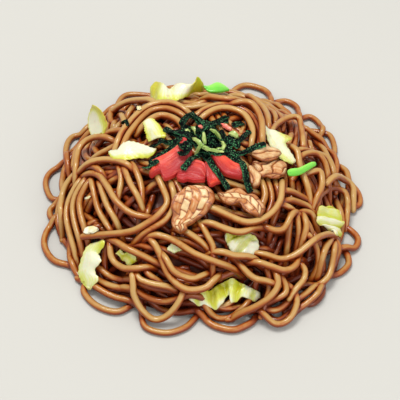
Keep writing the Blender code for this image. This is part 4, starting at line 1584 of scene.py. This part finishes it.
def shred(
    route, width, thickness=NORI_THICKNESS, taper=120, twist=0.6, hump=0.0, firmness=120, ceiling=NORI_TOP
):
    """Lets a strip down, crinkles it and twists it about its own middle line. Returns its points and faces.

    Its sideways direction turns about the line by the twist times a slow wave. The hump lifts its start.
    Its width is multiplied by the square root of 1 - |2 share - 1|^taper, so a low taper gives pointed ends.
    """
    route = evenly(route, SHRED_STEP)
    rest = np.max([pile.rest(moved_left(route, offset), SHRED_FEELS) for offset in (-1, 0, 1)], axis=0)
    heights = rest = np.minimum(rest, ceiling)
    for _ in range(firmness):
        heights = np.maximum(rest, straightened(heights))
    heights = straightened(heights, rounds=6)
    share = np.linspace(0, 1, len(route))
    heights = heights + hump * band(share, 0.3, 0.12) + 0.2 * np.sin(share * rng.uniform(14, 26))
    path = np.column_stack([route, heights])
    ahead = unit(np.gradient(path, axis=0))
    level = unit(np.cross(ahead, [0, 0, 1]))
    upright = np.cross(level, ahead)
    angle = twist * np.sin(share * rng.uniform(2, 6) + rng.uniform(0, 6))[:, None]
    sideways = level * np.cos(angle) + upright * np.sin(angle)
    across = np.linspace(-1, 1, SHRED_COLUMNS)
    ragged = 1 + 0.04 * np.sin(share * 40 + rng.uniform(0, 6))
    narrowing = np.sqrt(np.clip(1 - np.abs(2 * share - 1) ** taper, 0.01, 1))
    offsets = across * width / 2 * (ragged * narrowing)[:, None]
    grid = path[:, None] + sideways[:, None] * offsets[..., None]
    run = share[:, None] * len(route)
    grid[..., 2] += 0.1 * np.sin(run * 0.8 + 2.5 * across) + 0.35 * across**2 * np.sin(run * 0.21)
    pile.lay(path, SHRED_FILLS)
    grain = np.stack([run * SHRED_STEP + rng.uniform(0, 90) + 0 * across, offsets, 0 * offsets], axis=-1)
    return *two_faced(grid, thickness), np.tile(grain.reshape(-1, 3), (2, 1))


# %% Strips as one piece


def joined(parts):
    """Several closed strips as one: the points one after the other, and the faces shifted to match."""
    points = np.concatenate([part[0] for part in parts])
    starts = np.cumsum([0] + [len(part[0]) for part in parts[:-1]])
    kinds = range(len(parts[0][1]))
    faces = [np.concatenate([part[1][kind] + start for part, start in zip(parts, starts)]) for kind in kinds]
    return points, faces, np.concatenate([part[2] for part in parts])


# %% A tangle


def tangle(count, reach, length, width):
    """Short bent strips about the tuft's middle, each with a heading that turns steadily."""
    strips = []
    for _ in range(count):
        steps = int(rng.uniform(*length) / SHRED_STEP)
        heading = rng.uniform(0, 2 * np.pi) + np.cumsum(np.full(steps, rng.uniform(-0.07, 0.07)))
        route = np.cumsum(turned_to(heading, SHRED_STEP), axis=0)
        middle = rng.normal(0, 0.45, 2) * reach
        strips.append(shred(route - route.mean(axis=0) + middle + TUFT, rng.uniform(*width), twist=0.9))
    return strips


# %% Where the shreds lie
LONG_SHREDS = (
    ((-31.5, -11.9), (-27.2, -8.8), (-21.1, -5.4), (-13, -2.5)),
    ((-34.1, -13.3), (-32.7, -16.7), (-29.6, -18.1), (-26, -16)),
    ((-32.4, -0.3), (-29.1, 1.1), (-26.4, -0.6), (-18.1, 0.9), (-7.5, 1.9)),
    ((-23.8, 9.1), (-18.1, 6.0), (-11.9, 2.8), (-4, 3.9)),
    ((-13.5, 13.5), (-10.8, 19.7), (-7.0, 20.5), (-3.2, 14.4), (-1, 6.0)),
    ((-2.0, 5), (3.0, 11.8), (6.8, 16.9), (13.2, 21.9)),
    ((15, 14), (22, 18)),
    ((8, -3), (17.3, 2.2), (21.1, 5.1), (25.3, 8.9)),
    ((2, -2), (10.8, -5.5), (19, -5), (26, -4), (33.8, -1.6)),
    ((6, -5), (17.1, -10.2), (20.1, -16.8), (22.4, -25.6), (24.7, -31.8)),
    ((-2, -7), (1.7, -16.0), (6.5, -23.8), (12.5, -32.0)),
    ((0, -9), (-4.4, -12.6), (-8.7, -17.4), (-12.9, -22.9)),
    ((-14.3, -6.9), (-11.8, -10.8), (-9.3, -8.7), (-11.8, -5.5)),
)
SHORT_SHREDS = (
    ((-14, 12), (-11, 17), (-8, 21)),
    ((-9, 21), (-3, 16), (3, 10)),
    ((2, 9), (8, 15), (13, 19)),
    ((-22, 6), (-18, 6), (-12, 4), (-7, 1)),
    ((-14, 10), (-9, 11), (-2, 9), (7, 7)),
    ((-9, 8), (-4, 1), (1, -5)),
    ((1, 5), (3, -2), (3, -9)),
    ((5, -1), (12, 4), (17, 7)),
    ((-5, -8), (3, -12), (11, -12)),
    ((-15, -12), (-12, -14), (-8, -10)),
    ((0, 9), (7, 6), (14, 2), (19, -2)),
    ((11, -3), (17, -7), (21, -11)),
    ((-12, 3), (-6, -2), (-2, -9)),
    ((7, 10), (10, 3), (9, -5)),
)
STRAY_SHRED = ((-46, 26), (-44, 20), (-41, 12))  # it fell beside the tuft
strips = tangle(count=8, reach=(8, 7), length=(9, 15), width=(3.0, 3.8))
for number, points in enumerate(LONG_SHREDS):
    hump = 4.0 if number == 2 else 0
    strips.append(shred(through(np.array(points) + TUFT), NORI_WIDTH, twist=0.25, hump=hump))
for points in SHORT_SHREDS:
    strips.append(shred(through(np.array(points) + TUFT), NORI_WIDTH, twist=0.5, firmness=60))
strips += tangle(count=8, reach=(8, 6), length=(8, 14), width=(2.8, 3.6))
strips.append(shred(through(STRAY_SHRED), 2.2))


# %% Nori finish


def nori_finish():
    """Almost black green, lit along one edge and in flecks where the crumpled sheet catches the light."""
    made = Finish("toasted_nori")
    grain = made.vector("grain")
    cloud = made.noise(None, 260, 3)
    flecks = made.noise(grain, 1.0, 2)
    glints = made.noise(grain, 1.9, 1)
    tone = made.noise(grain, 1.0, 1, stretch=(0.06, 0.0, 0.0)).between(0.35, 0.65)
    side = made.node("ShaderNodeSeparateXYZ", sockets=[grain], output=1)
    edge = side.between(0.5, 1.5) * tone * flecks.between(0.3, 0.55)
    painted = made.painted(
        (2, 4, 6),
        (cloud.between(0.42, 0.68), (4, 19, 17)),
        (edge * 0.8, (44, 98, 66)),
        (flecks.between(0.57, 0.66) * (0.15 + tone), (70, 138, 84)),
        (glints.between(0.64, 0.72) * cloud.between(0.42, 0.56), (150, 196, 142)),
    )
    relief = made.bump(cloud + flecks * 0.5, 0.35)
    return made.set(Base_Color=painted, Roughness=0.5 + 0.3 * cloud, Specular_IOR_Level=0.06, Normal=relief)


points, faces, grain = joined(strips)
new_piece("nori_shreds", points, faces, nori_finish(), "nori", ["nori_tuft"], grain=grain)

# %% [markdown]
# Among the nori lie a few slivers of pale green stalk, cut thin and pointed at both ends, and two crumbs of
# ginger. Three pale scraps of cabbage lie between the strands farther out. All are made as the shreds are,
# only thicker, hardly twisted and narrowing to both ends.

# %% Where the slivers lie
SLIVER_THICKNESS = 1.0
STALK_SLIVERS = (
    (2.0, ((-7.8, 9), (-7.2, 5), (-6, 1))),
    (2.3, ((-7.4, -1.2), (-3.5, -6.5), (1.5, -11.8))),
    (1.8, ((-1.1, -2.6), (-0.9, -5), (-0.4, -8))),
    (2.2, ((2.4, -0.4), (5.5, 0.6), (8.6, 0))),
    (1.8, ((8.6, -1.6), (10.2, -5.5), (8.6, -9.8), (4.4, -8.6))),
    (2.2, ((-6, -9.9), (-4, -9), (-2, -8.6))),
    (1.8, ((-1.4, -10.2), (4, -12.4), (9.8, -12.6))),
    (3.6, ((13.6, 8.4), (16, 6.2), (18.6, 5))),
    (1.8, ((-11.4, 4.8), (-9, 4.4))),
)
CABBAGE_SCRAPS = (
    (4.6, ((-65, -43.5), (-61.5, -43.5), (-57, -45.5))),
    (2.4, ((-36, 29), (-35, 26))),
    (2.0, ((-65, -23), (-63.5, -25.5), (-62, -26))),
)
GINGER_CRUMBS = (
    (2.4, ((9, 13.8), (12, 12), (14.8, 10.4))),
    (1.8, ((-4, 3.2), (-1.8, 3))),
)


# %% Slivers and scraps


def sliver_finish(name, first, second):
    """Clouds of a second tone over the first, with fine lines for relief."""
    made = Finish(name)
    lines = made.noise(None, 500, 2)
    tone = made.painted(first, (made.noise(None, 180, 2).between(0.35, 0.65), second))
    return made.set(Base_Color=tone, Roughness=0.35, Normal=made.bump(lines, 0.25), Coat_Weight=0.3)


def slivers(name, table, finish, slot, middle=TUFT):
    """Cuts of the given widths through points about a middle, as one piece."""
    form = {"thickness": SLIVER_THICKNESS, "taper": 3, "twist": 0.2, "ceiling": SLIVER_TOP}
    cuts = [shred(through(np.array(points) + middle), width, **form) for width, points in table]
    points, faces, grain = joined(cuts)
    new_piece(name, points, faces, finish, slot, grain=grain)


green_stalk = sliver_finish("green_stalk", (176, 192, 112), (132, 162, 74))
pale_scrap = sliver_finish("pale_scrap", (226, 222, 200), (216, 208, 150))
ginger_crumb = sliver_finish("ginger_crumb", (240, 150, 124), (226, 104, 88))
slivers("stalk_slivers", STALK_SLIVERS, green_stalk, "spring_onion")
slivers("cabbage_scraps", CABBAGE_SCRAPS, pale_scrap, "cabbage", middle=0)
slivers("ginger_crumbs", GINGER_CRUMBS, ginger_crumb, "red_ginger")

# %% [markdown]
# ## Floor, light and camera
#
# The dish lies on a plain pale surface under one large, soft light from above and behind, with a dim fill
# from the front, so the shadows stay close under the rim. An area lamp's softness comes from its size, and
# its power falls off with distance. The room adds an even light that keeps the gaps between the strands
# from going black.

# %% Stage


def make_floor(half=4.0):
    """A square whose sides are twice the half, in metres."""
    mesh = bpy.data.meshes.new("floor")
    corners = [(-half, -half, 0), (half, -half, 0), (half, half, 0), (-half, half, 0)]
    mesh.from_pydata(corners, [], [(0, 1, 2, 3)])
    mesh.materials.append(Finish("pale_floor").set(Base_Color=colour((190, 189, 183)), Roughness=0.9))
    floor = bpy.data.objects.new("floor", mesh)
    bpy.context.collection.objects.link(floor)


def aimed(obj, place, target):
    """Puts a lamp or camera at a place and turns it to look at the target."""
    obj.location = place
    obj.rotation_euler = (Vector(target) - Vector(place)).to_track_quat("-Z", "Y").to_euler()
    bpy.context.collection.objects.link(obj)
    return obj


def soft_light(name, place, size, power, tone):
    """A round lamp that looks at the heap. Its size is in metres and its power in watts."""
    lamp = bpy.data.lights.new(name, "AREA")
    lamp.shape = "DISK"
    lamp.size = size
    lamp.energy = power
    lamp.color = tone
    return aimed(bpy.data.objects.new(name, lamp), place, (0, 0, 0.02))


# %% Floor and lights
make_floor()
soft_light("key", (-0.16, 0.14, 1.2), size=0.5, power=10.9, tone=(1.0, 0.985, 0.965))
soft_light("fill", (0.6, -0.9, 0.7), size=0.9, power=4, tone=(0.97, 0.98, 1.0))
world = bpy.data.worlds.new("room")
world.use_nodes = True
background = world.node_tree.nodes["Background"]
background.inputs["Color"].default_value = (1.0, 0.995, 0.985, 1)
background.inputs["Strength"].default_value = 0.75
bpy.context.scene.world = world
bpy.context.scene.view_settings.view_transform = "Standard"

# %% Camera
ELEVATION = np.radians(50)
DISTANCE = 0.70
VIEW_WIDTH = 0.240  # what the view spans at the heap's middle
camera_data = bpy.data.cameras.new("camera")
camera_data.lens = camera_data.sensor_width * DISTANCE / VIEW_WIDTH
place = (0, -DISTANCE * np.cos(ELEVATION), DISTANCE * np.sin(ELEVATION))
bpy.context.scene.camera = aimed(bpy.data.objects.new("camera", camera_data), place, (0, 0, 0))
